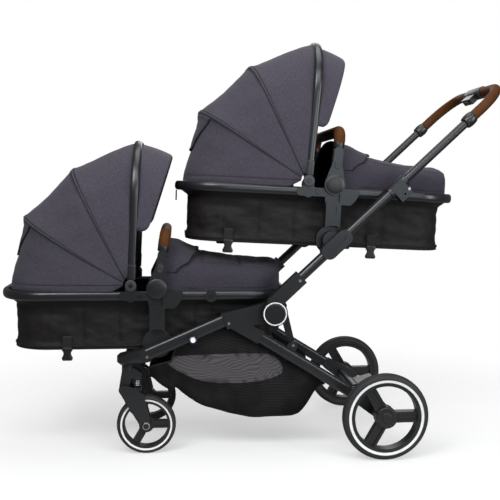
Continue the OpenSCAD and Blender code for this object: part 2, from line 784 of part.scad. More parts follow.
module handle_fittings() {
    low = grip_reach - grip_d/2 - button_house[2];
    color(plastic_grey) handle_at() {
        both() translate([0, -upper_tube_y, 0]) rotate_extrude()
            translate([handle_tube_d/2 + fit, -collar_l/2]) {
            square([collar_r - handle_tube_d/2 - fit, collar_l]);
        }
        difference() {
            translate([-button_house[0]/2, -button_house[1]/2, low])
                cube([button_house[0], button_house[1], button_house[2] + grip_d/4]);
            translate([0, button_house[1], grip_reach]) rotate([90, 0, 0])
                cylinder(h = 2*button_house[1], r = grip_d/2 + fit);
            translate([-button_size[0]/2 - gap, -button_size[1]/2 - gap, low - cut])
                cube([button_size[0] + 2*gap, button_size[1] + 2*gap,
                    button_size[2] - button_proud + button_travel + gap + cut]);
        }
    }
}

module handle_grip() {
    start = collar_l/2 + gap;
    color(leather_brown) handle_at() arch(upper_tube_y, grip_leg_l, grip_corner_r, start)
        difference() { circle(d = grip_d); circle(d = handle_tube_d + 2*fit); }
}

module release_button() {
    low = grip_reach - grip_d/2 - button_house[2];
    color("#8a8d90") handle_at() translate([-button_size[0]/2, -button_size[1]/2, low - button_proud])
        cube(button_size);
}

// Cots: each piece is drawn in the cot's own frame
module cot_at(cot) { place() translate([cot[0][0], 0, cot[0][1]]) rotate([0, cot[1], 0]) children(); }
cot_foot_l = cot_l - cot_head_l;

module rail(cot) {
    head = -cot_head_l + rail_w/2;
    foot = cot_foot_l - rail_w/2;
    color(tube_black) cot_at(cot) {
        both() {
            translate([head + head_corner_r, -rail_y, 0]) rotate([0, 90, 0])
                linear_extrude(foot - head - head_corner_r - foot_corner_r) oval(rail_h, rail_w);
            translate([head + head_corner_r, -rail_y + head_corner_r, 0]) rotate(180)
                rotate_extrude(angle = 90) translate([head_corner_r, 0]) oval(rail_w, rail_h);
            translate([foot - foot_corner_r, -rail_y + foot_corner_r, 0]) rotate(270)
                rotate_extrude(angle = 90) translate([foot_corner_r, 0]) oval(rail_w, rail_h);
        }
        translate([head, rail_y - head_corner_r, 0]) rotate([90, 0, 0])
            linear_extrude(2*(rail_y - head_corner_r)) oval(rail_w, rail_h);
        translate([foot, rail_y - foot_corner_r, 0]) rotate([90, 0, 0])
            linear_extrude(2*(rail_y - foot_corner_r)) oval(rail_w, rail_h);
    }
}

module fittings(cot) {
    post_top = -rail_h - gap;
    color(plastic_grey) cot_at(cot) both() difference() {
        union() {
            slab(plate_y, plate_y + plate_t) {
                spot([(sleeve_x[0] + sleeve_x[1])/2, 0]) oval(sleeve_x[1] - sleeve_x[0], sleeve_h);
                translate([sleeve_x[1] - sleeve_h, -sleeve_h/2]) square([sleeve_h - sleeve_x[1], sleeve_h]);
                link([hood_pivot[0], 0], hood_hub_r, hood_pivot, hood_hub_r - fit);
                link(bar_hub, bar_hub_r - gap, [0, -dimple_drop], post_w/2);
            }
            rod(hood_pivot, hood_hub_r - fit, plate_y, plate_y + hood_hub_h);
            rod(hood_pivot, hood_pivot_d/2, rib_y - rib_t/2, plate_y + hood_hub_h);
            rod(bar_hub, bar_pin_d/2, plate_y, cap_y + cap_t);
            rod(bar_hub, bar_hub_r, cap_y, cap_y + cap_t);
            slab(post_in_y, post_out_y) translate([-post_w/2, -adapter_drop])
                square([post_w, adapter_drop + post_top]);
            rod([stud_x, 0], stud_r, plate_y, plate_y + stud_h);
            slab(plate_y, post_out_y) difference() {
                intersection() {
                    translate([block_x[0], block_low])
                        square([block_x[1] - block_x[0], block_high - block_low]);
                    spot([block_x[0], block_high]) circle(block_x[1] - block_x[0]);
                }
                spot(bar_hub) circle(bar_hub_r + gap);
            }
        }
        rod([0, -adapter_drop], adapter_r + gap, 0, cap_y + cut);
        slab(post_out_y - dimple_depth, post_out_y + cut) spot([0, -dimple_drop])
            oval(2*dimple_r, 2*dimple_r + dimple_l);
    }
}

// Rings of the tub and mattress: an outline with round corners at a given inset from the rail's inner edge
outline_steps = 9;
function corner_points(c, r, a0) = [for (k = [0:outline_steps - 1])
    c + r*dir(a0 + 90*k/(outline_steps - 1))];
function outline(x0, x1, w, r0, r1) = concat(
    corner_points([x1 - r1, w - r1], r1, 0), corner_points([x0 + r0, w - r0], r0, 90),
    corner_points([x0 + r0, r0 - w], r0, 180), corner_points([x1 - r1, r1 - w], r1, 270));
tub_top_y = rail_in_y - gap;
tub_side_y = post_in_y - gap;
tub_head_x = -cot_head_l + rail_w + gap;
tub_foot_x = cot_foot_l - rail_w - gap;
tub_hem = 6;
function tub_ring(in, side, z) = [for (p = outline(tub_head_x + in, tub_foot_x - in, side,
    head_corner_r - rail_w/2 - in, foot_corner_r - rail_w/2 - in)) [p[0], p[1], z]];
tub_taper = 10;
tub_end = 12;
tub_neck = tub_top_y - tub_side_y;

module tub(cot) {
    low = -tub_depth;
    end = tub_neck + tub_end;
    color(fabric_black) cot_at(cot) loft([
        tub_ring(tub_taper + end, tub_side_y - tub_taper, low),
        tub_ring(end, tub_side_y, low + 2*tub_taper),
        tub_ring(end, tub_side_y, -rail_h),
        tub_ring(0, tub_top_y, -rail_h/2 + gap),
        tub_ring(0, tub_top_y, tub_hem),
        tub_ring(tub_wall, tub_top_y - tub_wall, tub_hem),
        tub_ring(tub_wall + end, tub_side_y - tub_wall, -rail_h),
        tub_ring(tub_wall + end, tub_side_y - tub_wall, low + 2*tub_taper),
        tub_ring(tub_taper + tub_wall + end, tub_side_y - tub_taper - tub_wall, low + tub_wall)]);
}

mattress_room = 2;
mattress_shares = [[0, 0.97], [0.2, 0.995], [0.5, 1], [0.8, 0.985], [0.93, 0.95], [1, 0.86]];
module mattress(cot) {
    in = 2*tub_taper + tub_wall + mattress_room;
    low = -tub_depth + tub_wall + gap;
    side = tub_side_y - in + tub_taper;
    color("#d8d4cc") cot_at(cot) loft([for (s = mattress_shares)
        tub_ring(in + tub_neck + tub_end + side*(1 - s[1]), side*s[1], low + s[0]*mattress_h)]);
}

// Apron: a crowned cover from the raised flap to the foot end, inside the rail
apron_flap_x = 40;
apron_foot_x = tub_foot_x - gap;
apron_y = rail_in_y - gap;
apron_base = tub_hem + gap;
apron_crown_h = 138;
apron_crown_shares = [[0, 1], [0.06, 0.98], [0.15, 0.87], [0.23, 0.79], [0.4, 0.71], [0.75, 0.63],
    [0.93, 0.60], [0.97, 0.57], [1, 0.4]];
apron_least_h = 1;
apron_stations = 14;
apron_turns = 14;
apron_power_share = 0.36;
function apron_half(x) = let (d = x - (apron_foot_x - foot_corner_r))
    d <= 0 ? apron_y : apron_y - foot_corner_r + sqrt(max(0, pow(foot_corner_r, 2) - d*d));
function apron_point(f, t, in) = let (x = mix(apron_flap_x, apron_foot_x - in, f), w = apron_half(x) - in)
    let (h = max(apron_crown_h*lookup(f, apron_crown_shares) - in, apron_least_h))
    [x, -w*cos(180*t), apron_base + h*pow(sin(180*t), apron_power_share)];
module apron(cot) {
    steps = [for (i = [0:apron_stations]) sin(90*i/apron_stations)];
    turns = [for (j = [0:apron_turns]) j/apron_turns];
    color(fabric_charcoal) cot_at(cot) sheet(
        [for (f = steps) [for (t = turns) apron_point(f, t, 0)]],
        [for (f = steps) [for (t = turns) apron_point(f, t, apron_t)]]);
}

// Hood: a bow and a rib on one pivot, and the fabric over them
module hood_at(cot, a) {
    cot_at(cot) translate([hood_pivot[0], 0, hood_pivot[1]]) rotate([0, 90 - a, 0]) children();
}
module hoop(r, y, w, t, corner) {
    difference() {
        union() {
            arch(y, r - corner - t/2, corner) oval(w, t);
            both() translate([0, -y + t/2, 0]) rotate([90, 0, 0]) cylinder(h = t, r = hood_eye_r);
        }
        translate([0, y + t, 0]) rotate([90, 0, 0]) cylinder(h = 2*(y + t), d = hood_pivot_d + 2*run);
    }
}
module bow(cot) {
    color(tube_black) hood_at(cot, bow_angle) hoop(bow_r, bow_y, bow_w, bow_t, bow_corner_r);
}
module rib(cot) {
    color(tube_black) hood_at(cot, rib_angle) hoop(rib_r, rib_y, rib_w, rib_t, rib_corner_r);
}

hood_rise = hood_t + gap;
hood_start = 46;
hood_panel_steps = 4;
hood_turns = 24;
hood_power_share = 0.571;
hood_y = rail_out_y + hood_rise;
hood_front_sag = 13;
hood_mid_sag = 22;
hood_step_angle = 4;
hood_back_dip = 28;
visor_angle = 15;
visor_columns = 4;
visor_low_share = 0.44;
visor_dip = 21;
hood_front_dip = 3;
hood_radii = [[bow_angle - visor_angle, bow_r - visor_dip], [bow_angle, bow_r - hood_front_dip],
    [rib_angle, rib_r + 2*hood_rise], [back_rib_angle, rib_r + 2*hood_rise],
    [back_rib_angle + hood_step_angle, rib_r - hood_back_dip], [hood_back_angle, rib_r - 2*hood_rise]];
hood_angles = concat([for (k = [0:hood_panel_steps - 1]) mix(bow_angle, rib_angle, k/hood_panel_steps)],
    [for (k = [0:hood_panel_steps]) mix(rib_angle, back_rib_angle, k/hood_panel_steps)],
    [for (k = [0:hood_panel_steps - 1])
        mix(back_rib_angle + hood_step_angle, hood_back_angle, k/(hood_panel_steps - 1))]);
function hood_slack(a) = a < bow_angle || a > back_rib_angle ? 0
    : a < rib_angle ? hood_front_sag*sin(180*(a - bow_angle)/(rib_angle - bow_angle))
    : hood_mid_sag*sin(180*(a - rib_angle)/(back_rib_angle - rib_angle));
function hood_r(a) = lookup(a, hood_radii) - hood_slack(a);
// A point of the fabric: angle about the pivot, share of the way across, offset behind the bow,
// depth under the skin
function hood_point(a, t, back, in) = let (s = pow(max(sin(180*t), 0), hood_power_share), c = cos(180*t),
    h = (hood_r(a) - in)*s, y = (hood_y - in)*sign(c)*pow(abs(c), hood_power_share))
    [hood_pivot[0] + h*cos(a) - back*sin(a), -y, hood_pivot[1] + h*sin(a) + back*cos(a)];
function hood_fabric(t0, shift, in) = [for (a = hood_angles)
    let (f = (a - bow_angle)/(hood_back_angle - bow_angle))
    [for (j = [0:hood_turns]) hood_point(a, mix(t0, 1 - t0, j/hood_turns), shift*(1 - f), in)]];
function visor_fabric(t1, shift, in) = [for (i = [0:visor_columns - 1])
    let (f = i/(visor_columns - 1), a = bow_angle - visor_angle*f)
    [for (j = [0:hood_turns]) hood_point(a, mix(t1, 1 - t1, j/hood_turns), shift*(1 - f), in)]];
module hood(cot) {
    t0 = asin(pow(hood_start/bow_r, 1/hood_power_share))/180;
    t1 = asin(pow(visor_low_share, 1/hood_power_share))/180;
    shift = bow_w/2 + gap;
    color(fabric_charcoal) cot_at(cot) {
        sheet(hood_fabric(t0, shift, hood_t), hood_fabric(t0, shift, 0));
        sheet(visor_fabric(t1, -shift, 0), visor_fabric(t1, -shift, hood_t));
    }
}

// Bumper bar, its grip and buttons, drawn upright about its hub
module bar_at(cot) {
    cot_at(cot) translate([bar_hub[0], 0, bar_hub[1]]) rotate([0, 90 - cot[2], 0]) children();
}
bar_out_y = eye_y + eye_t;
bar_leg_y = bar_out_y - bar_grip_d/2;
bar_leg_l = bar_r - bar_corner_r;
bar_arm_top = bar_leg_l - bar_collar_l - bar_lap;
bar_button_in_y = bar_out_y + bar_button_proud - bar_button_h;

module bar(cot) {
    color(plastic_grey) bar_at(cot) {
        arch(bar_leg_y, bar_leg_l, bar_corner_r, bar_arm_top - bar_arm_w/2) circle(d = bar_rod_d);
        both() {
            difference() {
                union() {
                    slab(eye_y, bar_out_y) link([0, 0], bar_hub_r - fit, [0, bar_button_at], bar_arm_w/2);
                    slab(bar_out_y - bar_arm_d, bar_out_y)
                        link([0, bar_button_at], bar_arm_w/2,
                            [0, bar_arm_top - bar_arm_w/2], bar_arm_w/2 - fit);
                }
                rod([0, 0], bar_pin_d/2 + run, eye_y - cut, bar_out_y + cut);
                slab(bar_button_in_y - bar_button_travel - gap, bar_out_y + cut)
                    spot([0, bar_button_at]) oval(bar_button[0] + 2*gap, bar_button[1] + 2*gap);
            }
            translate([0, -bar_leg_y, bar_arm_top - bar_lap])
                cylinder(h = bar_collar_l + bar_lap - gap, r = bar_collar_r);
        }
    }
}
module bar_grip(cot) {
    color(leather_brown) bar_at(cot) arch(bar_leg_y, bar_leg_l, bar_corner_r, bar_leg_l - bar_lap)
        difference() { circle(d = bar_grip_d); circle(d = bar_rod_d + 2*fit); }
}
module button(cot) {
    color("#8a8d90") bar_at(cot) slab(bar_button_in_y, bar_button_in_y + bar_button_h)
        spot([0, bar_button_at]) oval(bar_button[0], bar_button[1]);
}

module lower_rail() { rail(lower_cot); }
module lower_fittings() { fittings(lower_cot); }
module lower_tub() { tub(lower_cot); }
module lower_mattress() { mattress(lower_cot); }
module lower_apron() { apron(lower_cot); }
module lower_bow() { bow(lower_cot); }
module lower_rib() { rib(lower_cot); }
module lower_hood() { hood(lower_cot); }
module lower_bar() { bar(lower_cot); }
module lower_bar_grip() { bar_grip(lower_cot); }
module upper_rail() { rail(upper_cot); }
module upper_fittings() { fittings(upper_cot); }
module upper_tub() { tub(upper_cot); }
module upper_mattress() { mattress(upper_cot); }
module upper_apron() { apron(upper_cot); }
module upper_bow() { bow(upper_cot); }
module upper_rib() { rib(upper_cot); }
module upper_hood() { hood(upper_cot); }
module upper_bar() { bar(upper_cot); }
module upper_bar_grip() { bar_grip(upper_cot); }
module lower_button_near() { button(lower_cot); }
module lower_button_far() { far() button(lower_cot); }
module upper_button_near() { button(upper_cot); }
module upper_button_far() { far() button(upper_cot); }

front_tubes();
caster_housings();
cross_tubes();
lower_knuckles();
hub_caps();
lower_adapters();
lamps();
lamp_lenses();
basket();
rear_legs();
leg_fittings();
struts();
wheel_housings();
brake_pedal();
rear_tyre_near();
rear_tyre_far();
rear_rim_near();
rear_rim_far();
caster_stem_near();
caster_stem_far();
caster_fork_near();
caster_fork_far();
caster_spring_near();
caster_spring_far();
front_tyre_near();
front_tyre_far();
front_rim_near();
front_rim_far();
upper_knuckles();
upper_tubes();
upper_adapters();
tube_locks();
handle_tube();
handle_fittings();
handle_grip();
release_button();
lower_rail();
lower_fittings();
lower_tub();
lower_mattress();
lower_apron();
lower_bow();
lower_rib();
lower_hood();
lower_bar();
lower_bar_grip();
lower_button_near();
lower_button_far();
upper_rail();
upper_fittings();
upper_tub();
upper_mattress();
upper_apron();
upper_bow();
upper_rib();
upper_hood();
upper_bar();
upper_bar_grip();
upper_button_near();
upper_button_far();
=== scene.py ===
import json
from math import acos, asin, atan2, copysign, cos, degrees, exp, hypot, inf, pi, radians, sin, sqrt
import bmesh
import bpy
import numpy as np
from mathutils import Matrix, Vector, noise
from mathutils.bvhtree import BVHTree


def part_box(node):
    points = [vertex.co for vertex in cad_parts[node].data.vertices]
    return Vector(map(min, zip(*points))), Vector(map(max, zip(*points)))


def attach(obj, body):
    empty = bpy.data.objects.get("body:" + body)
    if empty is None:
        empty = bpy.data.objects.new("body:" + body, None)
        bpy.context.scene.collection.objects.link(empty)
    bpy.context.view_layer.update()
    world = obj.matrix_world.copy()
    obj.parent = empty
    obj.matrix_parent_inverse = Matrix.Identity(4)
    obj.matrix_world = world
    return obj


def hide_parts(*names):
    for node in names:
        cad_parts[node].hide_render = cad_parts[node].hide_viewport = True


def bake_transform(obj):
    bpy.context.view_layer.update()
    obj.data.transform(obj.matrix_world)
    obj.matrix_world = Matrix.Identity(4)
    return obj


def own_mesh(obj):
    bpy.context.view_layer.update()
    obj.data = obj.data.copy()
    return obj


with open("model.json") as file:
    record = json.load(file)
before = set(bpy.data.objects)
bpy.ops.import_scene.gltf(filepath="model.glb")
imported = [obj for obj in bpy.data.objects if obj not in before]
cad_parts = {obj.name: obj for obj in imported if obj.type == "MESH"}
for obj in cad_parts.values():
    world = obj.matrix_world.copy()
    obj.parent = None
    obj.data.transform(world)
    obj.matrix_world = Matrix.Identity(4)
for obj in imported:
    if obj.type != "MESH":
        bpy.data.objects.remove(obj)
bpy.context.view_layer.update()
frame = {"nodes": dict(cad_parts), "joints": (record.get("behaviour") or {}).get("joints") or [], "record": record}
nodes = frame["nodes"]
joints = {j["name"]: j for j in frame["joints"]}
slots = {p["node"]: p["material_slot"] for p in frame["record"]["subparts"]}
mm = 0.001


def pivot(joint):
    return Vector(joints[joint]["pos_m"])


# Socket maths for shaders and geometry trees
class Socket:
    def __init__(self, tree, out):
        self.tree, self.out = tree, out

    def math(self, operation, other=0.0, flip=False):
        first, second = (other, self) if flip else (self, other)
        return self.tree.node("ShaderNodeMath", {"operation": operation}, {0: first, 1: second})

    def __add__(self, other):
        return self.math("ADD", other)

    def __sub__(self, other):
        return self.math("SUBTRACT", other)

    def __rsub__(self, other):
        return self.math("SUBTRACT", other, True)

    def __mul__(self, other):
        return self.math("MULTIPLY", other)

    __radd__, __rmul__ = __add__, __mul__

    def smooth(self, low, high):    # 0 below low, 1 above high
        return self.tree.node("ShaderNodeMapRange", {"interpolation_type": "SMOOTHSTEP"},
                              {"Value": self, "From Min": low, "From Max": high})


class Tree:
    def __init__(self, tree):
        self.tree = tree

    def node(self, kind, settings=None, inputs=None, out=0):
        made = self.tree.nodes.new(kind)
        for key, value in (settings or {}).items():
            setattr(made, key, value)
        for key, value in (inputs or {}).items():
            if isinstance(value, Socket):
                self.tree.links.new(value.out, made.inputs[key])
            elif value is not None:
                made.inputs[key].default_value = value
        return Socket(self, made.outputs[out] if made.outputs else None)


class Finish(Tree):
    def __init__(self, name, source="Object", **fixed):
        self.material = bpy.data.materials.new(name)
        self.material.use_nodes = True
        super().__init__(self.material.node_tree)
        self.shader = self.tree.nodes["Principled BSDF"]
        for key, value in fixed.items():
            self.shader.inputs[key.replace("_", " ")].default_value = value
        self.at = self.node("ShaderNodeTexCoord", out=source)

    def axis(self, name):
        return self.node("ShaderNodeSeparateXYZ", None, {0: self.at}, name)

    def cloud(self, scale, detail=2.0, vector=None):
        return self.node("ShaderNodeTexNoise", None,
                         {"Vector": vector or self.at, "Scale": scale, "Detail": detail})

    def streaks(self, scale, detail=2.0):    # noise with its own scale along each axis
        stretched = self.node("ShaderNodeMapping", None, {"Vector": self.at, "Scale": scale})
        return self.cloud(1.0, detail, stretched)

    def mask(self, name):
        return self.node("ShaderNodeAttribute", {"attribute_name": name}, out="Fac")

    def blend(self, factor, first, second):    # each end a socket or a plain colour
        first, second = ((*c, 1.0) if isinstance(c, tuple) else c for c in (first, second))
        return self.node("ShaderNodeMix", {"data_type": "RGBA"}, {0: factor, 6: first, 7: second}, 2)

    def bump(self, height, strength, depth):
        return self.node("ShaderNodeBump", None, {"Height": height, "Strength": strength, "Distance": depth})

    def use(self, **links):
        for key, value in links.items():
            self.tree.links.new(value.out, self.shader.inputs[key.replace("_", " ")])
        return self.material


def moulded(name, dark, light, rough, grain=900.0):
    f = Finish(name)
    broad = f.cloud(7.0, 4.0)
    fine = f.cloud(grain)
    return f.use(Base_Color=f.blend(broad * 0.7 + fine * 0.3, dark, light),
                 Roughness=rough - 0.05 + broad * 0.1 + fine * 0.04,
                 Normal=f.bump(fine, 0.12, 0.00005))


def anodised():
    f = Finish("anodisedTube", Metallic=0.2, Specular_IOR_Level=0.6)
    drawn = f.streaks((20, 240, 20))
    broad = f.cloud(5.0, 3.0)
    return f.use(Base_Color=f.blend(broad, (0.009, 0.0094, 0.0106), (0.018, 0.0188, 0.022)),
                 Roughness=0.27 + drawn * 0.02 + broad * 0.05)


def woven(name, dark, mid, light, thread, slub, rough, crease=0.0, source="UV", **fixed):
    f = Finish(name, source, **fixed)
    u, v = f.axis("X"), f.axis("Y")
    turn = 2 * pi / thread
    warp = (u * turn).math("SINE") * 0.5 + 0.5
    weft = (v * turn).math("SINE") * 0.5 + 0.5
    across = f.streaks((130, 900, 1), 3.0)
    along = f.streaks((900, 130, 1), 3.0)
    broad = f.cloud(9.0, 3.0)
    thick = (across + along) * 0.5
    seam = f.mask("seam")
    tone = f.blend(thick.smooth(0.5 - slub, 0.5 + slub), dark, light)
    tone = f.blend(0.35 + broad * 0.3, tone, mid)
    tone = f.blend(seam * 0.8, tone, tuple(c * 0.18 for c in dark))
    crumple = f.streaks((34, 22, 1), 3.0)
    height = warp * weft * 0.5 + thick + crumple * crease
    return f.use(Base_Color=tone, Roughness=rough + thick * 0.1, Normal=f.bump(height, 0.45, 0.0006))


def leather():
    f = Finish("tanLeather", Specular_IOR_Level=0.12)
    cells = f.node("ShaderNodeTexVoronoi", {"feature": "DISTANCE_TO_EDGE"}, {"Vector": f.at, "Scale": 620.0})
    broad = f.cloud(30.0, 5.0)
    wearAndSheen = f.cloud(9.0, 3.0).smooth(0.45, 0.7)
    tone = f.blend(broad, (0.052, 0.0165, 0.0040), (0.084, 0.0285, 0.0070))
    tone = f.blend(wearAndSheen * 0.35, tone, (0.110, 0.042, 0.011))
    return f.use(Base_Color=tone, Roughness=0.58 + broad * 0.14 - wearAndSheen * 0.06,
                 Normal=f.bump(cells.smooth(0.0, 0.18), 0.15, 0.0003))


def basketMesh():
    f = Finish("basketMesh", "UV", Specular_IOR_Level=0.15)
    u, v = f.axis("X"), f.axis("Y")
    turn = 2 * pi / 0.0032
    holes = (u * turn).math("SINE") * (v * turn).math("SINE") * 0.5 + 0.5
    slub = f.streaks((60, 420, 1), 3.0)
    broad = f.cloud(7.0, 4.0)
    seam = f.mask("seam")
    window = f.mask("window").smooth(-0.0006, 0.0006)
    # the knit's courses, and two layers seen through each other
    knit = (v * (2 * pi / 0.0085) + broad * 9.0).math("SINE") * 0.5 + 0.5
    drift = f.streaks((11, 16, 1), 1.0)
    moire = (u * (2 * pi / 0.021) + v * 760.0 + drift * 34.0).math("SINE") * 0.5 + 0.5
    # painted sheen: the black knit lighter in broad patches along its courses
    wearAndSheen = broad.smooth(0.35, 0.65) * (0.15 + slub * 0.35 + knit * 0.5)
    black = f.blend(wearAndSheen, (0.0035, 0.0035, 0.004), (0.019, 0.0185, 0.0195))
    grey = f.blend(moire * 0.45 + slub * 0.55, (0.036, 0.032, 0.036), (0.135, 0.124, 0.131))
    grey = f.blend(holes * 0.35, grey, (0.02, 0.019, 0.02))
    tone = f.blend(seam * 0.85, f.blend(window, black, grey), (0.004, 0.004, 0.004))
    return f.use(Base_Color=tone, Roughness=0.72 + broad * 0.14,
                 Normal=f.bump(holes + slub * 0.5 + knit, 0.5, 0.0007))


def rubber():
    f = Finish("tyreRubber")
    fine = f.cloud(500.0)
    dust = f.cloud(18.0, 5.0)
    return f.use(Base_Color=f.blend(dust.smooth(0.4, 0.75), (0.010, 0.010, 0.0105), (0.022, 0.021, 0.020)),
                 Roughness=0.58 + dust * 0.2, Normal=f.bump(fine, 0.3, 0.0003))


def chalkWhite():
    f = Finish("whiteBand")
    scuff = f.cloud(40.0, 5.0)
    return f.use(Base_Color=f.blend(scuff.smooth(0.52, 0.75) * 0.4, (0.80, 0.80, 0.80), (0.52, 0.52, 0.51)),
                 Roughness=0.45 + scuff * 0.2)


def brightSteel():
    f = Finish("brightSteel", Metallic=1.0)
    brushed = f.streaks((200, 2200, 200))
    return f.use(Base_Color=f.blend(brushed, (0.32, 0.32, 0.33), (0.55, 0.55, 0.56)),
                 Roughness=0.24 + brushed * 0.16)


def lampGlow():
    f = Finish("lampGlow", Emission_Strength=2.2, Roughness=0.12, Coat_Weight=0.5)
    ripple = f.cloud(260.0)
    glow = f.blend(ripple, (0.80, 0.88, 1.0), (1.0, 1.0, 1.0))
    return f.use(Base_Color=glow, Emission_Color=glow)


def paleFloor():
    f = Finish("paleFloor", Specular_IOR_Level=0.05)
    broad = f.cloud(0.8, 3.0)
    away = f.node("ShaderNodeVectorMath", {"operation": "LENGTH"}, {0: f.at}, "Value").smooth(0.5, 1.6)
    return f.use(Base_Color=f.blend(broad, (0.90, 0.90, 0.90), (0.94, 0.94, 0.94)),
                 Roughness=0.7 + broad * 0.1, Alpha=0.5 - away * 0.5)    # it fades into the white sky


paint = {
    "tube": anodised(),
    "plastic": moulded("mouldedPlastic", (0.0060, 0.0064, 0.0072), (0.0105, 0.0110, 0.0122), 0.36),
    "dark": moulded("darkPlastic", (0.006, 0.006, 0.0065), (0.012, 0.012, 0.013), 0.30),
    "rim": moulded("rimPlastic", (0.0055, 0.0055, 0.006), (0.011, 0.011, 0.012), 0.34, 600.0),
    "button": moulded("buttonPlastic", (0.020, 0.021, 0.023), (0.034, 0.035, 0.038), 0.45),
    "melange": woven("melangeWeave", (0.024, 0.0215, 0.031), (0.046, 0.041, 0.056), (0.090, 0.083, 0.106),
                     0.0016, 0.16, 0.80, 8.0, Specular_IOR_Level=0.15, Sheen_Weight=0.08),
    # painted shade: the apron's weave is the melange darkened to about 0.7, a shaded copy of the same cloth
    "apron": woven("apronWeave", (0.017, 0.0152, 0.0225), (0.033, 0.0292, 0.041), (0.064, 0.058, 0.078),
                   0.0016, 0.16, 0.80, 6.0, Specular_IOR_Level=0.15, Sheen_Weight=0.06),
    "tub": woven("tubCloth", (0.0050, 0.0042, 0.0040), (0.0086, 0.0074, 0.0070), (0.016, 0.0140, 0.0132),
                 0.0014, 0.2, 0.54, 14.0, Specular_IOR_Level=0.2),
    "lining": woven("blackLining", (0.004, 0.004, 0.0042), (0.006, 0.006, 0.0062), (0.010, 0.010, 0.0105),
                    0.0012, 0.2, 0.82, Specular_IOR_Level=0.1),
    "webbing": woven("blackWebbing", (0.006, 0.006, 0.006), (0.012, 0.012, 0.012), (0.022, 0.022, 0.022),
                     0.0022, 0.15, 0.62, Specular_IOR_Level=0.2),
    "pad": woven("mattressCover", (0.035, 0.034, 0.036), (0.060, 0.058, 0.062), (0.10, 0.098, 0.10),
                 0.0018, 0.18, 0.85, 0.0, "Object"),
    "glass": moulded("lampGlass", (0.16, 0.18, 0.24), (0.30, 0.34, 0.44), 0.16, 400.0),
    "thread": moulded("darkThread", (0.004, 0.004, 0.0045), (0.009, 0.009, 0.010), 0.7, 2000.0),
    "basket": basketMesh(),
    "leather": leather(),
    "rubber": rubber(),
    "band": chalkWhite(),
    "steel": brightSteel(),
    "glow": lampGlow(),
    "floor": paleFloor(),
}
print("finishes made:", len(paint))

# The rigid nodes keep their shapes and get their finishes
bySlot = {"frame_tube": "tube", "plastic": "plastic", "button": "button", "tyre": "rubber", "spring": "steel",
          "lens": "glow", "mesh": "basket", "dark_cloth": "tub", "melange": "melange", "mattress": "pad",
          "leather": "leather"}
special = {"rear_rim_near": "rim", "rear_rim_far": "rim", "front_rim_near": "rim", "front_rim_far": "rim",
           "lamps": "dark", "handle_fittings": "dark", "brake_pedal": "dark", "hub_caps": "dark"}
for name, node in nodes.items():
    node.data.materials.clear()
    node.data.materials.append(paint[special.get(name, bySlot[slots[name]])])
print("finishes on the frame's nodes:", len(nodes))


# Mesh helpers: every piece is built in place, with its object at the origin
def addObject(name, data):
    made = bpy.data.objects.new(name, data)
    bpy.context.scene.collection.objects.link(made)
    return made


def dress(piece, body, node=None):    # what a piece rides on and the node it stands for
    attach(piece, body)
    if node:
        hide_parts(node)


def newPiece(name, verts, faces, materials, uvs=None, faceSlots=None, marks=None, smooth=True):
    mesh = bpy.data.meshes.new(name)
    mesh.from_pydata([tuple(v) for v in verts], [], faces)
    for m in materials:
        mesh.materials.append(paint[m])
    if faceSlots is not None:
        mesh.polygons.foreach_set("material_index", faceSlots)
    if uvs is not None:
        layer = mesh.uv_layers.new(name="cut")
        corners = np.zeros(len(mesh.loops), np.int32)
        mesh.loops.foreach_get("vertex_index", corners)
        layer.data.foreach_set("uv", np.asarray(uvs, np.float32)[corners].ravel())
    for key, values in (marks or {}).items():
        mesh.attributes.new(key, "FLOAT", "POINT").data.foreach_set("value", np.asarray(values, np.float32))
    mesh.polygons.foreach_set("use_smooth", [smooth] * len(mesh.polygons))
    mesh.update()
    return addObject(name, mesh)


def gridFaces(rows, columns, wrap=False):
    last = columns if wrap else columns - 1
    return [(i * columns + j, i * columns + (j + 1) % columns,
             (i + 1) * columns + (j + 1) % columns, (i + 1) * columns + j)
            for i in range(rows - 1) for j in range(last)]


def endCaps(count, around):    # one face over each end of a stack of rings
    return [tuple(range(around)), tuple((count - 1) * around + j for j in range(around))]


def closeLoop(count, around):    # the last ring joined to the first
    last = (count - 1) * around
    return [(last + j, last + (j + 1) % around, (j + 1) % around, j) for j in range(around)]


def arcLengths(points):
    steps = np.linalg.norm(np.diff(points, axis=0), axis=1)
    return np.concatenate([[0.0], np.cumsum(steps)])


def faceAway(piece, middle):    # an open sheet's faces turn away from the middle
    middle = Vector(middle)
    if sum(f.area * f.normal.dot(f.center - middle) for f in piece.data.polygons) < 0:
        piece.data.flip_normals()


def faceOut(piece):    # a closed shape's faces turn outwards
    shell = bmesh.new()
    shell.from_mesh(piece.data)
    bmesh.ops.recalc_face_normals(shell, faces=shell.faces[:])
    shell.to_mesh(piece.data)
    shell.free()
    return piece


def sheetPiece(name, grid, materials, middle, marks=None, thickness=0.0, wrap=False):
    grid = np.asarray(grid, float)
    rows, columns = grid.shape[:2]
    us = np.stack([arcLengths(grid[:, j]) for j in range(columns)], 1)
    vs = np.stack([arcLengths(grid[i]) for i in range(rows)], 0)
    vs = vs - vs[:, columns // 2][:, None]
    uvs = np.stack([us, vs], 2).reshape(-1, 2)
    marks = marks or {"seam": np.zeros(rows * columns)}
    piece = newPiece(name, grid.reshape(-1, 3), gridFaces(rows, columns, wrap), materials, uvs, None, marks)
    faceAway(piece, middle)
    if thickness:
        wall = piece.modifiers.new("wall", "SOLIDIFY")
        wall.thickness, wall.offset, wall.use_even_offset = thickness, -1.0, False
        wall.material_offset = 1 if len(materials) > 1 else 0
        settle(piece)
    return piece


def settle(piece):    # the modifiers' result becomes the piece's own mesh
    view = bpy.context.evaluated_depsgraph_get()
    made = bpy.data.meshes.new_from_object(piece.evaluated_get(view))
    old = piece.data
    piece.modifiers.clear()
    piece.data = made
    bpy.data.meshes.remove(old)
    made.name = piece.name
    return piece


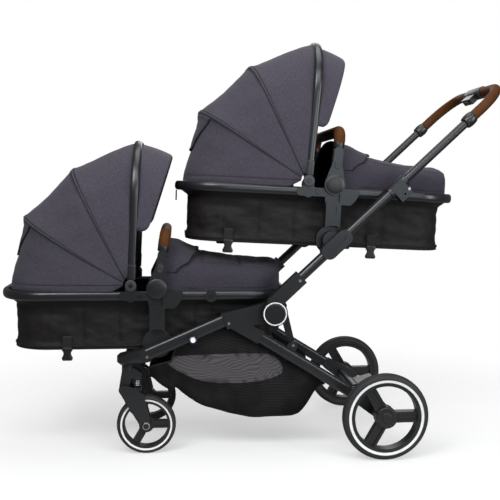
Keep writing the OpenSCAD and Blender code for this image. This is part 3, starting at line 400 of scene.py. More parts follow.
def joinPieces(name, pieces):
    with bpy.context.temp_override(active_object=pieces[0], selected_editable_objects=pieces):
        bpy.ops.object.join()
    pieces[0].name = pieces[0].data.name = name
    return pieces[0]


def setMark(piece, key, value):
    marks = piece.data.attributes.get(key) or piece.data.attributes.new(key, "FLOAT", "POINT")
    marks.data.foreach_set("value", np.full(len(piece.data.vertices), value, np.float32))
    return piece


def sweep(name, path, section, material, closed=False, ups=None):
    path, section = np.asarray(path, float), np.asarray(section, float)
    tangents = np.roll(path, -1, 0) - np.roll(path, 1, 0) if closed else np.gradient(path, axis=0)
    tangents /= np.linalg.norm(tangents, axis=1)[:, None]
    rings, side = [], None
    for k, (p, t) in enumerate(zip(path, tangents)):
        if ups is not None:
            side = np.cross(ups, t)
        elif side is None:
            side = np.cross((0.0, 1.0, 0.0) if abs(t[1]) < 0.9 else (0.0, 0.0, 1.0), t)
        else:
            side = side - t * side.dot(t)
        side = side / np.linalg.norm(side)
        up = np.cross(t, side)
        cut = section[k] if section.ndim == 3 else section
        rings.append(p + cut[:, :1] * side + cut[:, 1:] * up)
    count, around = len(rings), len(rings[0])
    faces = gridFaces(count, around, True)
    faces += closeLoop(count, around) if closed else endCaps(count, around)
    lengths = arcLengths(path)
    loop = np.linspace(0, 2 * pi * np.linalg.norm(rings[0][0] - path[0]), around)
    uvs = [(lengths[i], loop[j]) for i in range(count) for j in range(around)]
    return faceOut(newPiece(name, np.concatenate(rings), faces, [material], uvs))


def clamp(value):
    return min(1.0, max(0.0, value))


def arch(share):    # 0 at both sides and 1 in the middle
    return max(sin(pi * share), 0.0)


def eased(part, whole):    # a share that starts and ends slowly
    return 0.5 - 0.5 * cos(pi * part / whole)


def signedPower(value, power):
    return copysign(abs(value) ** power, value)


def onLine(value, stops):    # a stop list's height at a value
    return np.interp(value, [s[0] for s in stops], [s[1] for s in stops])


def disc(radius, around=12):
    turns = [2 * pi * k / around for k in range(around)]
    return [(radius * cos(a), radius * sin(a)) for a in turns]


def softBox(width, height, around=24, power=0.4):    # a rectangle with round corners
    ring = []
    for k in range(around):
        a = 2 * pi * (k + 0.5) / around
        c, s = cos(a), sin(a)
        ring.append((width / 2 * signedPower(c, power),
                     height / 2 * signedPower(s, power)))
    return ring


def lathe(name, profile, centre, materials, around=64, bands=None, loop=False, smooth=True):
    count = len(profile)
    turned = [(centre[0] + r * cos(2 * pi * k / around), centre[1] + y,
               centre[2] + r * sin(2 * pi * k / around)) for r, y in profile for k in range(around)]
    faces = gridFaces(count, around, True)
    faceSlots = [bands[i] if bands else 0 for i in range(count - 1) for _ in range(around)]
    if loop:
        faces += closeLoop(count, around)
        faceSlots += [0] * around
    else:
        faces += endCaps(count, around)
        faceSlots += [bands[0] if bands else 0, bands[-1] if bands else 0]
    return faceOut(newPiece(name, turned, faces, materials, None, faceSlots, None, smooth))


def bothSides(make):    # near is -1 and far is +1 across the middle plane
    return [make(side, out) for side, out in (("near", -1), ("far", 1))]


def aside(out, distance):    # a step outwards on one side
    return Vector((0, out * distance * mm, 0))


def outerFace(node, out):    # the outermost crosswise position of a node on one side
    low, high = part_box(node)
    return low[1] if out < 0 else high[1]


def middleOf(node):
    return [(a + b) / 2 for a, b in zip(*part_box(node))]


def scaledCuts(ring, shares):    # one section, grown or shrunk along a sweep
    return [[(x * g, y * g) for x, y in ring] for g in shares]


def ripple(point, scale, seed):
    return noise.noise(Vector(point) * scale + Vector((seed, seed * 0.37, seed * 0.71)))


def folds(point, *waves):    # each wave: size, scale and seed
    return sum(size * ripple(point, scale, seed) for size, scale, seed in waves)


def softInterp(value, stops, width):    # a stop list's line with its corners rounded
    spread = np.linspace(-width, width, 9)
    return float(np.mean(onLine(value + spread, stops)))


def cutCorners(points, times=2):    # a closed outline with its corners rounded
    for _ in range(times):
        pairs = list(zip(points, points[1:] + points[:1]))
        points = [(a[0] + (b[0] - a[0]) * f, a[1] + (b[1] - a[1]) * f)
                  for a, b in pairs for f in (0.25, 0.75)]
    return points


def bump01(value, width):
    return exp(-(value / width) ** 2)


def clothArea(piece):    # both faces of a thin wall, halved
    return sum(f.area for f in piece.data.polygons) / 2


surfaces = {}


def surfaceY(node, x, z, out):    # where a line across the pram first meets a node
    if node not in surfaces:
        mesh = nodes[node].data
        surfaces[node] = BVHTree.FromPolygons([v.co for v in mesh.vertices],
                                              [p.vertices for p in mesh.polygons])
    hit = surfaces[node].ray_cast(Vector((x, out, z)), Vector((0, -out, 0)))[0]
    return hit.y if hit else None


# Geometry trees for what repeats: screw heads, stitches and ribs
def geometryTree(name, inputs):
    group = bpy.data.node_groups.new(name, "GeometryNodeTree")
    group.interface.new_socket("Geometry", in_out="INPUT", socket_type="NodeSocketGeometry")
    for label, kind, value in inputs:
        socket = group.interface.new_socket(label, in_out="INPUT", socket_type="NodeSocket" + kind)
        if value is not None:
            socket.default_value = value
    group.interface.new_socket("Geometry", in_out="OUTPUT", socket_type="NodeSocketGeometry")
    tree = Tree(group)
    entry = group.nodes.new("NodeGroupInput")
    return group, tree, {s.name: Socket(tree, s) for s in entry.outputs if s.name}


def closeTree(group, tree, given, points, shape, turn, size=None):    # the shape on each point, in its finish
    placed = tree.node("GeometryNodeInstanceOnPoints", None,
                       {"Points": points, "Instance": shape, "Rotation": turn, "Scale": size})
    real = tree.node("GeometryNodeRealizeInstances", None, {0: placed})
    dressed = tree.node("GeometryNodeSetMaterial", None, {"Geometry": real, "Material": given["Finish"]})
    group.links.new(dressed.out, group.nodes.new("NodeGroupOutput").inputs[0])
    return group


def facingOf(tree):    # the direction kept on each point
    return tree.node("GeometryNodeInputNamedAttribute", {"data_type": "FLOAT_VECTOR"}, {"Name": "facing"})


def screwTree():
    group, t, given = geometryTree("screwHeads", [
        ("Head Radius", "Float", 0.004), ("Head Height", "Float", 0.0016), ("Finish", "Material", None)])
    cone = t.node("GeometryNodeMeshCone", {"fill_type": "NGON"},
                  {"Vertices": 20, "Radius Top": given["Head Radius"] * 0.82,
                   "Radius Bottom": given["Head Radius"], "Depth": given["Head Height"]})
    top = Socket(t, cone.out.node.outputs["Top"])
    rim = t.node("GeometryNodeExtrudeMesh", {"mode": "FACES"},
                 {"Mesh": cone, "Selection": top, "Offset Scale": 0.0})
    inner = Socket(t, rim.out.node.outputs["Top"])
    small = t.node("GeometryNodeScaleElements", None, {"Geometry": rim, "Selection": inner, "Scale": 0.55})
    sunk = t.node("GeometryNodeExtrudeMesh", {"mode": "FACES"},
                  {"Mesh": small, "Selection": inner, "Offset Scale": given["Head Height"] * -0.6})
    turn = t.node("FunctionNodeAlignRotationToVector", {"axis": "Z"}, {"Vector": facingOf(t)})
    return closeTree(group, t, given, given["Geometry"], sunk, turn)


def stitchTree():
    group, t, given = geometryTree("stitchRow", [
        ("Pitch", "Float", 0.006), ("Stitch Length", "Float", 0.0042), ("Thread", "Float", 0.0007),
        ("Finish", "Material", None)])
    line = t.node("GeometryNodeMeshToCurve", None, {"Mesh": given["Geometry"]})
    spaced = t.node("GeometryNodeResampleCurve", {"mode": "LENGTH"}, {"Curve": line, "Length": given["Pitch"]})
    bead = t.node("GeometryNodeMeshUVSphere", None, {"Segments": 6, "Rings": 4, "Radius": 1.0})
    tangent = t.node("GeometryNodeInputTangent")
    turn = t.node("FunctionNodeAlignRotationToVector", {"axis": "X"}, {"Vector": tangent})
    size = t.node("ShaderNodeCombineXYZ", None,
                  {"X": given["Stitch Length"] * 0.5, "Y": given["Thread"], "Z": given["Thread"]})
    return closeTree(group, t, given, spaced, bead, turn, size)


def ribTree():
    group, t, given = geometryTree("thumbRibs", [
        ("Rib Size", "Vector", (0.007, 0.0012, 0.0022)), ("Finish", "Material", None)])
    bar = t.node("GeometryNodeMeshCube", None,
                 {"Size": given["Rib Size"], "Vertices X": 3, "Vertices Y": 2, "Vertices Z": 2})
    rounded = t.node("GeometryNodeSubdivisionSurface", None, {"Mesh": bar, "Level": 1})
    turn = t.node("FunctionNodeEulerToRotation", None, {0: facingOf(t)})
    return closeTree(group, t, given, given["Geometry"], rounded, turn)


trees = {"screw": screwTree(), "stitch": stitchTree(), "rib": ribTree()}


def grow(name, tree, verts, edges, values, facing=None, uses="steel"):
    mesh = bpy.data.meshes.new(name)
    mesh.from_pydata([tuple(v) for v in verts], edges, [])
    if facing is not None:
        held = mesh.attributes.new("facing", "FLOAT_VECTOR", "POINT").data
        held.foreach_set("vector", np.asarray(facing, np.float32).ravel())
    piece = addObject(name, mesh)
    spread = piece.modifiers.new("spread", "NODES")
    spread.node_group = trees[tree]
    given = dict(values, Finish=paint[uses])
    for item in trees[tree].interface.items_tree:
        if item.in_out == "INPUT" and item.name in given:
            spread[item.identifier] = given[item.name]
    return settle(piece)


def stitchRow(lines, pitch=6.0, thread=0.6):
    verts, edges = [], []
    for line in lines:
        edges += [(len(verts) + k, len(verts) + k + 1) for k in range(len(line) - 1)]
        verts += list(line)
    sizes = {"Pitch": pitch * mm, "Stitch Length": pitch * 0.68 * mm, "Thread": thread * mm}
    return grow("stitches", "stitch", verts, edges, sizes, None, "thread")


# The cots: their own frames, found from the hood's pivot and the bar's hub
cotPlan = dict(hoodPivot=(-72.0, 30.0), barHub=(0.0, 23.0))


class Cot:
    def __init__(self, name):
        self.name = name
        hood, bar = pivot(name + "_hood_fold"), pivot(name + "_bar_tilt")
        own = [b - a for a, b in zip(cotPlan["hoodPivot"], cotPlan["barHub"])]
        self.tilt = atan2(own[1], own[0]) - atan2(bar.z - hood.z, bar.x - hood.x)
        self.cos, self.sin = cos(self.tilt), sin(self.tilt)
        x, z = (v * mm for v in cotPlan["barHub"])
        self.x, self.z = bar.x - x * self.cos - z * self.sin, bar.z - z * self.cos + x * self.sin

    def at(self, x, y, z):    # millimetres of the cot's frame to the part's frame
        x, z = x * mm, z * mm
        return (self.x + x * self.cos + z * self.sin, y * mm, self.z + z * self.cos - x * self.sin)

    def heading(self, degrees):    # a direction in the side view
        turn = radians(degrees) - self.tilt
        return Vector((cos(turn), 0, sin(turn)))

    def body(self, name):
        return self.name + "_" + name


cots = [Cot("lower"), Cot("upper")]

# Hood: one fan of cloth over the bow and the ribs, and a stiff visor before the bow
hoodPlan = dict(bow=87.3, rib=117.0, back=148.6, end=182.0, halfWidth=196.3, power=0.571, frontSag=11.0,
                midSag=20.0, start=25.0, shift=9.6, cloth=1.6, casing=4.6, casingRise=1.7, across=96, hem=31.0,
                railTop=10.5, skirtFrom=-104.0, skirtRows=3, cord=1.1, cordTurn=0.86, stitchTurn=1.5,
                creaseRun=(0.82, 0.57),    # creases run up towards the bow
                radii=((87.3, 396.0), (117.0, 363.0), (148.6, 359.5), (152.0, 344.0), (156.0, 337.0),
                       (166.0, 333.0), (182.0, 346.0)))


def hoodRadius(a):
    p = hoodPlan
    r = onLine(a, p["radii"])
    if p["bow"] < a < p["rib"]:
        r -= p["frontSag"] * sin(pi * (a - p["bow"]) / (p["rib"] - p["bow"]))
    elif p["rib"] < a < p["back"]:
        r -= p["midSag"] * sin(pi * (a - p["rib"]) / (p["back"] - p["rib"]))
    return r


# In the cot's frame, from an angle, a share across, a radius and an offset behind the bow
def fanPoint(a, t, radius, shift, lift=0.0):
    p = hoodPlan
    s, c = arch(t) ** p["power"], cos(pi * t)
    h = (radius + lift) * s
    y = (p["halfWidth"] + lift) * signedPower(c, p["power"])
    turn = radians(a)
    px, pz = cotPlan["hoodPivot"]
    return (px + h * cos(turn) - shift * sin(turn), -y,
            pz + h * sin(turn) + shift * cos(turn))


def onHood(a, t, lift=0.0):
    return fanPoint(a, t, hoodRadius(a), hoodShift(a), lift)


def shareAt(h, radius):    # the share across at which the fan has a given height
    return asin(min(1.0, h / radius) ** (1 / hoodPlan["power"])) / pi


def hoodShift(a):
    p = hoodPlan
    return p["shift"] * (1 - (a - p["bow"]) / (p["end"] - p["bow"]))


def hoodAngles():
    p = hoodPlan
    seams = [p["bow"], p["rib"], p["back"], p["back"] + 3.4, p["end"]]
    stops = [p["end"] - d for d in (0.0, 0.5, 1.0, 1.5, 2.0, 2.5, 3.0)]
    for first, last in zip(seams, seams[1:]):
        stops += list(np.linspace(first, last, max(3, int((last - first) / 1.5)), endpoint=False))
    for seam in (p["rib"], p["back"]):
        stops += [seam + d for d in (-1.15, -0.9, -0.75, -0.6, -0.3, 0.3, 0.6, 0.75, 0.9, 1.15)]
    return sorted(set(round(s, 2) for s in stops))


def followShare(a):
    p = hoodPlan
    return clamp((p["back"] - a) / (p["back"] - p["bow"]))


def makeHood(cot):
    p = hoodPlan
    low = shareAt(p["start"], p["radii"][0][1])
    shares = [low + (1 - 2 * low) * j / p["across"] for j in range(p["across"] + 1)]
    grid, seams, follow = [], [], []
    runX, runZ = p["creaseRun"]
    for a in hoodAngles():
        gap = min(abs(a - s) for s in (p["rib"], p["back"])) * radians(1) * p["radii"][1][1]
        raised = p["casingRise"] * max(0.0, 1 - (gap / p["casing"]) ** 4)
        groove = -1.0 * bump01(gap - p["casing"] - 0.6, 1.0)
        slack = min(1.0, gap / 28.0) * min(1.0, 0.15 + (a - p["bow"]) / 6.0)
        line = []
        for t in shares:
            q = fanPoint(a, t, hoodRadius(a), 0)
            along, over = runX * q[0] + runZ * q[2], runX * q[2] - runZ * q[0]
            streak = (0.35 * along, 0.5 * q[1], 1.7 * over)
            crease = slack * (folds(q, (2.4, 0.009, 3.0 + cot.tilt), (0.9, 0.024, 8.0))
                              + folds(streak, (2.2, 0.016, 12.0 + cot.tilt)))
            pull = slack * 0.2 * sin(a * 1.1 + 4.0 * ripple(q, 0.006, 1.0)) * sin(pi * t) ** 0.5
            q = onHood(a, t, raised + groove + crease + pull - 1.0)
            hem = bump01(q[2] - p["hem"], 1.5) if a > p["back"] else 0.0
            line.append(q)
            seams.append(max(bump01(gap - p["casing"], 1.3), 0.9 * hem, 0.5 * bump01(a - p["bow"], 0.35)))
        grid.append(line)
        follow += [followShare(a)] * len(line)
    last = grid[-1]
    for k in range(1, p["skirtRows"] + 1):    # the skirt that reaches the rail
        f = k / p["skirtRows"]
        reach = [f * clamp((p["skirtFrom"] - q[0]) / 8) for q in last]
        grid.append([(x, y * (1 - 0.012 * f), z + (p["railTop"] - z) * r)
                     for (x, y, z), r in zip(last, reach)])
        seams += [0.0] * len(shares)
        follow += [0.0] * len(shares)
    grid = [[cot.at(*q) for q in line] for line in grid]
    cloth = sheetPiece(cot.body("hood_cloth"), grid, ["melange", "lining"], cot.at(-190, 0, 60),
                       {"seam": seams, "follow": follow}, p["cloth"] * mm)
    area, extras = clothArea(cloth), []
    for seam in (p["rib"], p["back"]):
        for a in (seam - p["cordTurn"], seam + p["cordTurn"]):
            ridge = [cot.at(*onHood(a, t, -0.5)) for t in shares]
            cord = sweep("cord", ridge, disc(p["cord"] * mm, 6), "thread")
            extras.append(setMark(cord, "follow", followShare(a)))
        a = seam + p["stitchTurn"]
        row = [cot.at(*fanPoint(a, t, hoodRadius(a), hoodShift(seam), -0.4)) for t in shares]
        extras.append(setMark(stitchRow([row]), "follow", followShare(a)))
    piece = joinPieces(cot.body("hood_cloth"), [cloth] + extras)
    shareOfTurn = np.zeros(len(piece.data.vertices), np.float32)
    piece.data.attributes["follow"].data.foreach_get("value", shareOfTurn)
    piece.data.attributes.remove(piece.data.attributes["follow"])
    cot.body("cot")
    cot.body("hood_bow")
    cot.at(*fanPoint(p["back"], 0.5, 359.0, 0))
    cot.at(*fanPoint(p["bow"], 0.5, 396.0, 0))
    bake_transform(piece)
    cot.body("bow")
    cot.body("rib")
    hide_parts(cot.body("hood"))


visorPlan = {"lower": dict(angle=15.0, nearR=394.0, farR=379.0),
             "upper": dict(angle=13.4, nearR=388.0, farR=373.0),
             "low": 152.0, "corner": 24.0, "columns": 20, "rows": 96, "hem": 5.0, "cloth": 2.2, "swell": 3.0}


def makeVisor(cot):
    p, v, own = hoodPlan, visorPlan, visorPlan[cot.name]
    grid, seams = [], []
    for i in range(v["columns"] + 1):
        f = (i / v["columns"]) ** 0.85
        radius = own["nearR"] + (own["farR"] - own["nearR"]) * f - 4.0 * max(0.0, (f - 0.9) / 0.1) ** 2
        bend = max(0.0, (f - 0.42) / 0.58)
        low = shareAt(v["low"] + v["corner"] * (1 - sqrt(max(0.0, 1 - bend * bend))), radius)
        line = []
        for j in range(v["rows"] + 1):
            t = low + (1 - 2 * low) * j / v["rows"]
            swell = v["swell"] * sin(pi * t) * f    # the front edge swells a little
            spot = (p["bow"] - own["angle"] * f, t, radius, -p["shift"] * (1 - f) - swell * 0.4)
            line.append(cot.at(*fanPoint(*spot, 1.2 * ripple(fanPoint(*spot), 0.012, 5.0) * f - 0.6)))
            edge = min((1 - f) * own["angle"] * radians(1) * radius, (t - low) * 900, (1 - low - t) * 900)
            seams.append(0.3 * bump01(edge - v["hem"], 1.2))
        grid.append(line)
    piece = sheetPiece(cot.body("visor"), grid, ["melange"], cot.at(-150, 0, 60), {"seam": seams},
                       v["cloth"] * mm)
    dress(piece, cot.body("hood_bow"))
    cot.body("bow")


# Vent panel behind the back rib, closed by two dark zips
ventPlan = dict(first=149.6, last=166.5, topY=140.0, lowY=72.0, rows=22, across=40, lift=3.6, cloth=1.4,
                zip=(5.2, 2.6))


def makeVent(cot):
    p, v = hoodPlan, ventPlan
    grid = []
    for i in range(v["rows"] + 1):
        f = i / v["rows"]
        a = v["first"] + (v["last"] - v["first"]) * f
        half = v["topY"] + (v["lowY"] - v["topY"]) * f
        c = (half / p["halfWidth"]) ** (1 / p["power"])
        low = acos(c) / pi
        line = []
        for j in range(v["across"] + 1):
            t = low + (1 - 2 * low) * j / v["across"]
            puff = sin(pi * j / v["across"]) ** 0.5
            lift = 0.8 + v["lift"] * puff * min(1.0, 0.3 + f * 3) + ripple(onHood(a, t), 0.02, 6.0)
            line.append(cot.at(*onHood(a, t, lift)))
        grid.append(line)
    cloth = sheetPiece(cot.body("vent_panel"), grid, ["melange", "lining"], cot.at(-150, 0, 60),
                       None, v["cloth"] * mm)
    zips = [[line[0] for line in grid], [line[-1] for line in grid], grid[-1]]
    trims = [sweep("zip", line, softBox(*(s * mm for s in v["zip"]), 12), "thread") for line in zips]
    piece = joinPieces(cot.body("vent_panel"), [cloth] + trims)
    dress(piece, cot.body("cot"))
    cot.body("hood_cloth")


# Bow: an oval tube in plastic shoes at its two ends
bowPlan = dict(angle=87.3, legY=189.5, top=396.5, corner=150.0, low=15.0, width=22.4, thick=12.0,
               shoe=(15.0, 57.0), shoeCut=(13.0, 25.4), shoeShares=(0.94, 0.98, 1.0, 1.0, 0.985, 0.93))


def archPath(half, top, corner, axis, centre, low, count=14):
    bend = np.linspace(0, pi / 2, 24)[1:]
    path = [(-half, z) for z in np.linspace(low, top - corner, count)]
    path += [(-half + corner - corner * cos(a), top - corner + corner * sin(a)) for a in bend]
    path += [(y, top) for y in np.linspace(-half + corner, half - corner, count)[1:]]
    path += [(half - corner + corner * sin(a), top - corner + corner * cos(a)) for a in bend]
    path += [(half, z) for z in np.linspace(top - corner, low, count)[1:]]
    return [tuple(centre + axis * (z * mm) + Vector((0, y * mm, 0))) for y, z in path]


def makeBow(cot):
    p = bowPlan
    axis, centre = cot.heading(p["angle"]), pivot(cot.body("hood_fold"))
    across = Vector((axis.z, 0, -axis.x))
    path = archPath(p["legY"], p["top"], p["corner"], axis, centre, p["low"])
    oval = softBox(p["thick"] * mm, p["width"] * mm, 32, 0.95)
    tube = sweep(cot.body("bow_tube"), path, oval, "tube", False, across)
    dress(tube, cot.body("hood_bow"), cot.body("bow"))
    low, high = p["shoe"]
    stops = [low, low + 1, low + 4, high - 3, high - 0.8, high]
    cuts = scaledCuts(softBox(*(s * mm for s in p["shoeCut"]), 28, 0.7), p["shoeShares"])
    shoes = []
    for out in (-1, 1):
        line = [tuple(centre + axis * (h * mm) + aside(out, p["legY"])) for h in stops]
        shoes.append(sweep("shoe", line, cuts, "plastic", False, across))
    shoe = joinPieces(cot.body("bow_shoes"), shoes)
    dress(shoe, cot.body("hood_bow"))


for cot in cots:
    for make in (makeHood, makeVisor, makeVent, makeBow):
        make(cot)
print("hoods stretched over their bows")

# Tub: a slack fabric trough hung inside the rail
tubPlan = dict(topY=177.7, sideY=169.4, depth=152.0, end=20.3, taper=10.0, hem=6.0, around=300, cloth=2.0,
               headX=-423.7, footX=353.7, headCorner=122.5, footCorner=102.5, band=11.0, piping=1.3,
               bedRings=12, creep=4.2, seamDip=2.4, broadFold=(4.6, 0.014, 2.0), fineFold=(2.8, 0.032, 6.0),
               seams=(-300.0, -203.0, -104.0, 104.0, 148.0))


def roundedRing(inset, side, z, count):
    p = tubPlan
    x0, x1 = p["headX"] + inset, p["footX"] - inset
    r0, r1 = p["headCorner"] - inset, p["footCorner"] - inset
    corners = [((x1 - r1, side - r1), r1, 0), ((x0 + r0, side - r0), r0, 90),
               ((x0 + r0, r0 - side), r0, 180), ((x1 - r1, r1 - side), r1, 270)]
    turns = [(c, r, radians(start + 90 * k / 24)) for c, r, start in corners for k in range(25)]
    points = [(c[0] + r * cos(a), c[1] + r * sin(a)) for c, r, a in turns]
    points = np.asarray(points + points[:1])
    lengths = arcLengths(points)
    marks = np.linspace(0, lengths[-1], count, endpoint=False)
    return [(np.interp(s, lengths, points[:, 0]), np.interp(s, lengths, points[:, 1]), z) for s in marks]


def tubProfile():
    p = tubPlan
    low = -p["depth"]
    rows = [(0, p["topY"] - 0.3, p["hem"]), (0, p["topY"], 0.0), (0, p["topY"], -12.0)]
    rows += [(p["end"] * f, p["topY"] + (p["sideY"] - p["topY"]) * f, -12.0 - 13.0 * f)
             for f in (0.25, 0.5, 0.75, 1.0)]
    rows += [(p["end"], p["sideY"], z) for z in np.linspace(-30.0, low + 2 * p["taper"], 18)]
    rows += [(p["end"], p["sideY"], low + z) for z in (15.0, 13.5, 12.3, 11.3, 10.4, 9.0, 7.0)]
    turn = ((0.4, 5.0), (1.2, 3.2), (2.6, 1.6), (5.0, 0.6))
    rows += [(p["end"] + d, p["sideY"] - d, low + z) for d, z in turn]
    return rows + [(p["end"] + p["taper"] + d, p["sideY"] - p["taper"] - d, low + 0.4)
                   for d in (4, 12, 30, 60, 90)]


def makeTub(cot):
    p = tubPlan
    low = -p["depth"]
    grid, seams = [], []
    for inset, sideY, z in tubProfile():
        depth = clamp((-z - 22.0) / 26.0) * clamp((z - low - p["band"]) / 12.0)
        line = []
        for x, y, _ in roundedRing(inset, sideY, z, p["around"]):
            out = Vector((x - max(min(x, 220.0), -290.0), y if abs(y) > 1 else 0.0, 0.0))
            out = out.normalized() if out.length > 1e-6 else Vector((0, 0, 0))
            fold = folds((x, y * 0.6, z * 1.5), p["broadFold"]) + folds((x, y, z * 1.6), p["fineFold"])
            near = min(abs(x - s) for s in p["seams"]) if abs(y) > 100 else 99.0
            sag = depth * (-p["creep"] + fold - p["seamDip"] * bump01(near, 6.0))
            rib = -1.3 * bump01(z + 30.0, 3.0) - 0.9 * bump01(z - low - p["band"] - 1.3, 1.2)
            push = min(0.6, sag + rib - 0.6)
            line.append(cot.at(x + out.x * push, y + out.y * push, z))
            seams.append(max(0.75 * bump01(near, 1.6) * depth, 0.8 * bump01(z - low - p["band"] - 1.3, 1.3)))
        grid.append(line)
    middle = cot.at(-35, 0, -60)
    wall = sheetPiece("wall", grid, ["tub", "lining"], middle, {"seam": seams}, p["cloth"] * mm, True)
    centre, ring = np.array(cot.at(-35.0, 0.0, low + 0.4)), np.asarray(grid[-1])
    bed = [centre + (ring - centre) * f for f in np.linspace(1.0, 0.02, p["bedRings"])]
    floor = sheetPiece("floor", bed, ["tub", "lining"], middle, None, p["cloth"] * mm, True)
    hems = []
    for d, z in ((-0.4, p["band"] + 2.4), (-0.4, p["band"]), (1.0, 3.0)):
        path = [cot.at(*q) for q in roundedRing(p["end"] + d, p["sideY"] - d, low + z, 220)]
        hems.append(sweep("piping", path, disc(p["piping"] * mm, 6), "webbing", True))
    rows = [[cot.at(x + d, s * (p["sideY"] - 2.4), z) for z in np.linspace(-34.0, low + 14.0, 30)]
            for x in p["seams"] for d in (-3.0, 3.0) for s in (-1, 1)]
    piece = joinPieces(cot.body("tub_cloth"), [wall, floor, stitchRow(rows)] + hems)
    dress(piece, cot.body("cot"), cot.body("tub"))
    cot.body("rail")


# Rail: an oval tube bent into a ring
railPlan = dict(inset=-7.8, half=185.5, width=17.0, height=26.2)


def makeRail(cot):
    p = railPlan
    path = [cot.at(*q) for q in roundedRing(p["inset"], p["half"], 0.0, 260)]
    oval = softBox(p["width"] * mm, p["height"] * mm, 32, 0.92)
    piece = sweep(cot.body("rail_tube"), path, oval, "tube", True, cot.heading(90))
    dress(piece, cot.body("cot"), cot.body("rail"))


# Straps with side-release buckles under the tubs
strapPlan = dict(lower=(-248.0,), upper=(-286.0, 119.0), faceY=171.4, high=-112.0, low=-152.0, width=25.0,
                 thick=1.5, buckleTop=-144.0, buckleThick=8.4,
                 buckle=((0, 25), (2, 29), (8, 29), (12, 22), (18, 20), (23, 24), (29, 30), (33, 29), (36, 25)),
                 toggle=(-435.0, -40.0, -14.0), toggleLong=30.0, toggleRadius=2.0)


def makeStraps(cot):
    p = strapPlan
    parts = []
    for x in p[cot.name]:
        for out in (-1, 1):
            path = [cot.at(x, out * p["faceY"], z) for z in np.linspace(p["high"], p["low"] + 2, 8)]
            path += [cot.at(x, out * (p["faceY"] - d), p["low"] - z)
                     for d, z in ((1.0, 1.2), (4.0, 3.0), (12.0, 3.4))]
            band = softBox(p["thick"] * mm, p["width"] * mm, 16, 0.3)
            parts.append(sweep("strap", path, band, "webbing", False, (1, 0, 0)))
            drop = [cot.at(x, out * p["faceY"], p["buckleTop"] - d) for d, _ in p["buckle"]]
            cuts = [softBox(p["buckleThick"] * mm, w * mm, 24, 0.45) for _, w in p["buckle"]]
            parts.append(sweep("buckle", drop, cuts, "dark", False, (1, 0, 0)))
    if cot.name == "upper":    # a cord's toggle below the head end
        x, y, z = p["toggle"]
        nose = [cot.at(x + 0.02 * d, y, z - d) for d in np.linspace(0, p["toggleLong"], 8)]
        parts.append(sweep("cord", nose, disc(p["toggleRadius"] * mm, 8), "webbing"))
    piece = joinPieces(cot.body("straps"), parts)
    dress(piece, cot.body("cot"))


# Apron: the crowned cover from the turned-up flap to the foot
apronPlan = dict(frontX=10.0, flapX=40.0, footX=353.1, halfWidth=177.7, base=6.3, crown=138.0, power=0.36,
                 footCorner=110.0, footRows=8, rows=110, across=110, cloth=2.0, seamAt=0.195,
                 crossSeams=(125.0, 231.0), hem=20.0, slack=2.6, barClear=129.5, barEase=3.0, barFade=20.0,
                 barLow={"lower": 73.0, "upper": 53.0},
                 heights=((0, 1), (0.06, 0.98), (0.15, 0.87), (0.23, 0.79), (0.4, 0.71), (0.75, 0.63),
                          (0.93, 0.61), (0.985, 0.59), (1, 0.52)))


def apronPoint(x, t, lift=0.0):    # cot's frame
    p = apronPlan
    f = max(0.0, (x - p["flapX"]) / (p["footX"] - p["flapX"]))
    d = x - (p["footX"] - p["footCorner"])
    half = p["halfWidth"]
    if d > 0:
        half += sqrt(max(0.0, p["footCorner"] ** 2 - d * d)) - p["footCorner"]
    h = p["crown"] * softInterp(f, p["heights"], 0.02)
    h *= 1 + 0.05 * max(0.0, p["flapX"] - x) / (p["flapX"] - p["frontX"])
    s, c = arch(t), cos(pi * t)
    return (x, -(half + lift * abs(c)) * c, p["base"] + (h + lift) * s ** p["power"])


def underBar(cot, q):    # keeps a point clear of the bar's leather as the bar tilts
    p = apronPlan
    x, y, z = q
    rise = z - cotPlan["barHub"][1]
    angle = degrees(atan2(rise, x))
    below = max(0.0, p["barLow"][cot.name] - angle)
    reach = p["barClear"] + p["barEase"] * below
    if below < p["barFade"] and hypot(x, rise) > reach:
        z = cotPlan["barHub"][1] + sqrt(reach ** 2 - x ** 2)
    return cot.at(x, y, z)


def apronFront(t):    # the front edge leans back from the rail to the crown
    p = apronPlan
    return p["frontX"] + 4.0 * arch(t) ** p["power"]


def apronLift(cot, x, t):
    p = apronPlan
    q = apronPoint(x, t)
    rise = min(1.0, sin(pi * t) * 4) * clamp((p["footX"] - x) / 30)
    near = min(abs(t - p["seamAt"]), abs(1 - t - p["seamAt"])) * 420
    cross = min(abs(x - s) for s in p["crossSeams"]) if p["seamAt"] < t < 1 - p["seamAt"] else 99.0
    lift = rise * folds(q, (4.4, 0.012, 4.0 + 30 * cot.tilt), (2.4, 0.032, 9.0)) - p["slack"]
    lift += 1.6 * bump01(near, 2.2) - 1.3 * bump01(near - 5.0, 2.0) - 2.0 * bump01(cross, 5.0)
    seam = max(0.75 * bump01(near - 3.0, 1.6), 0.6 * bump01(cross, 1.4), 0.7 * bump01(q[2] - p["hem"], 1.5))
    return min(0.6, lift), seam


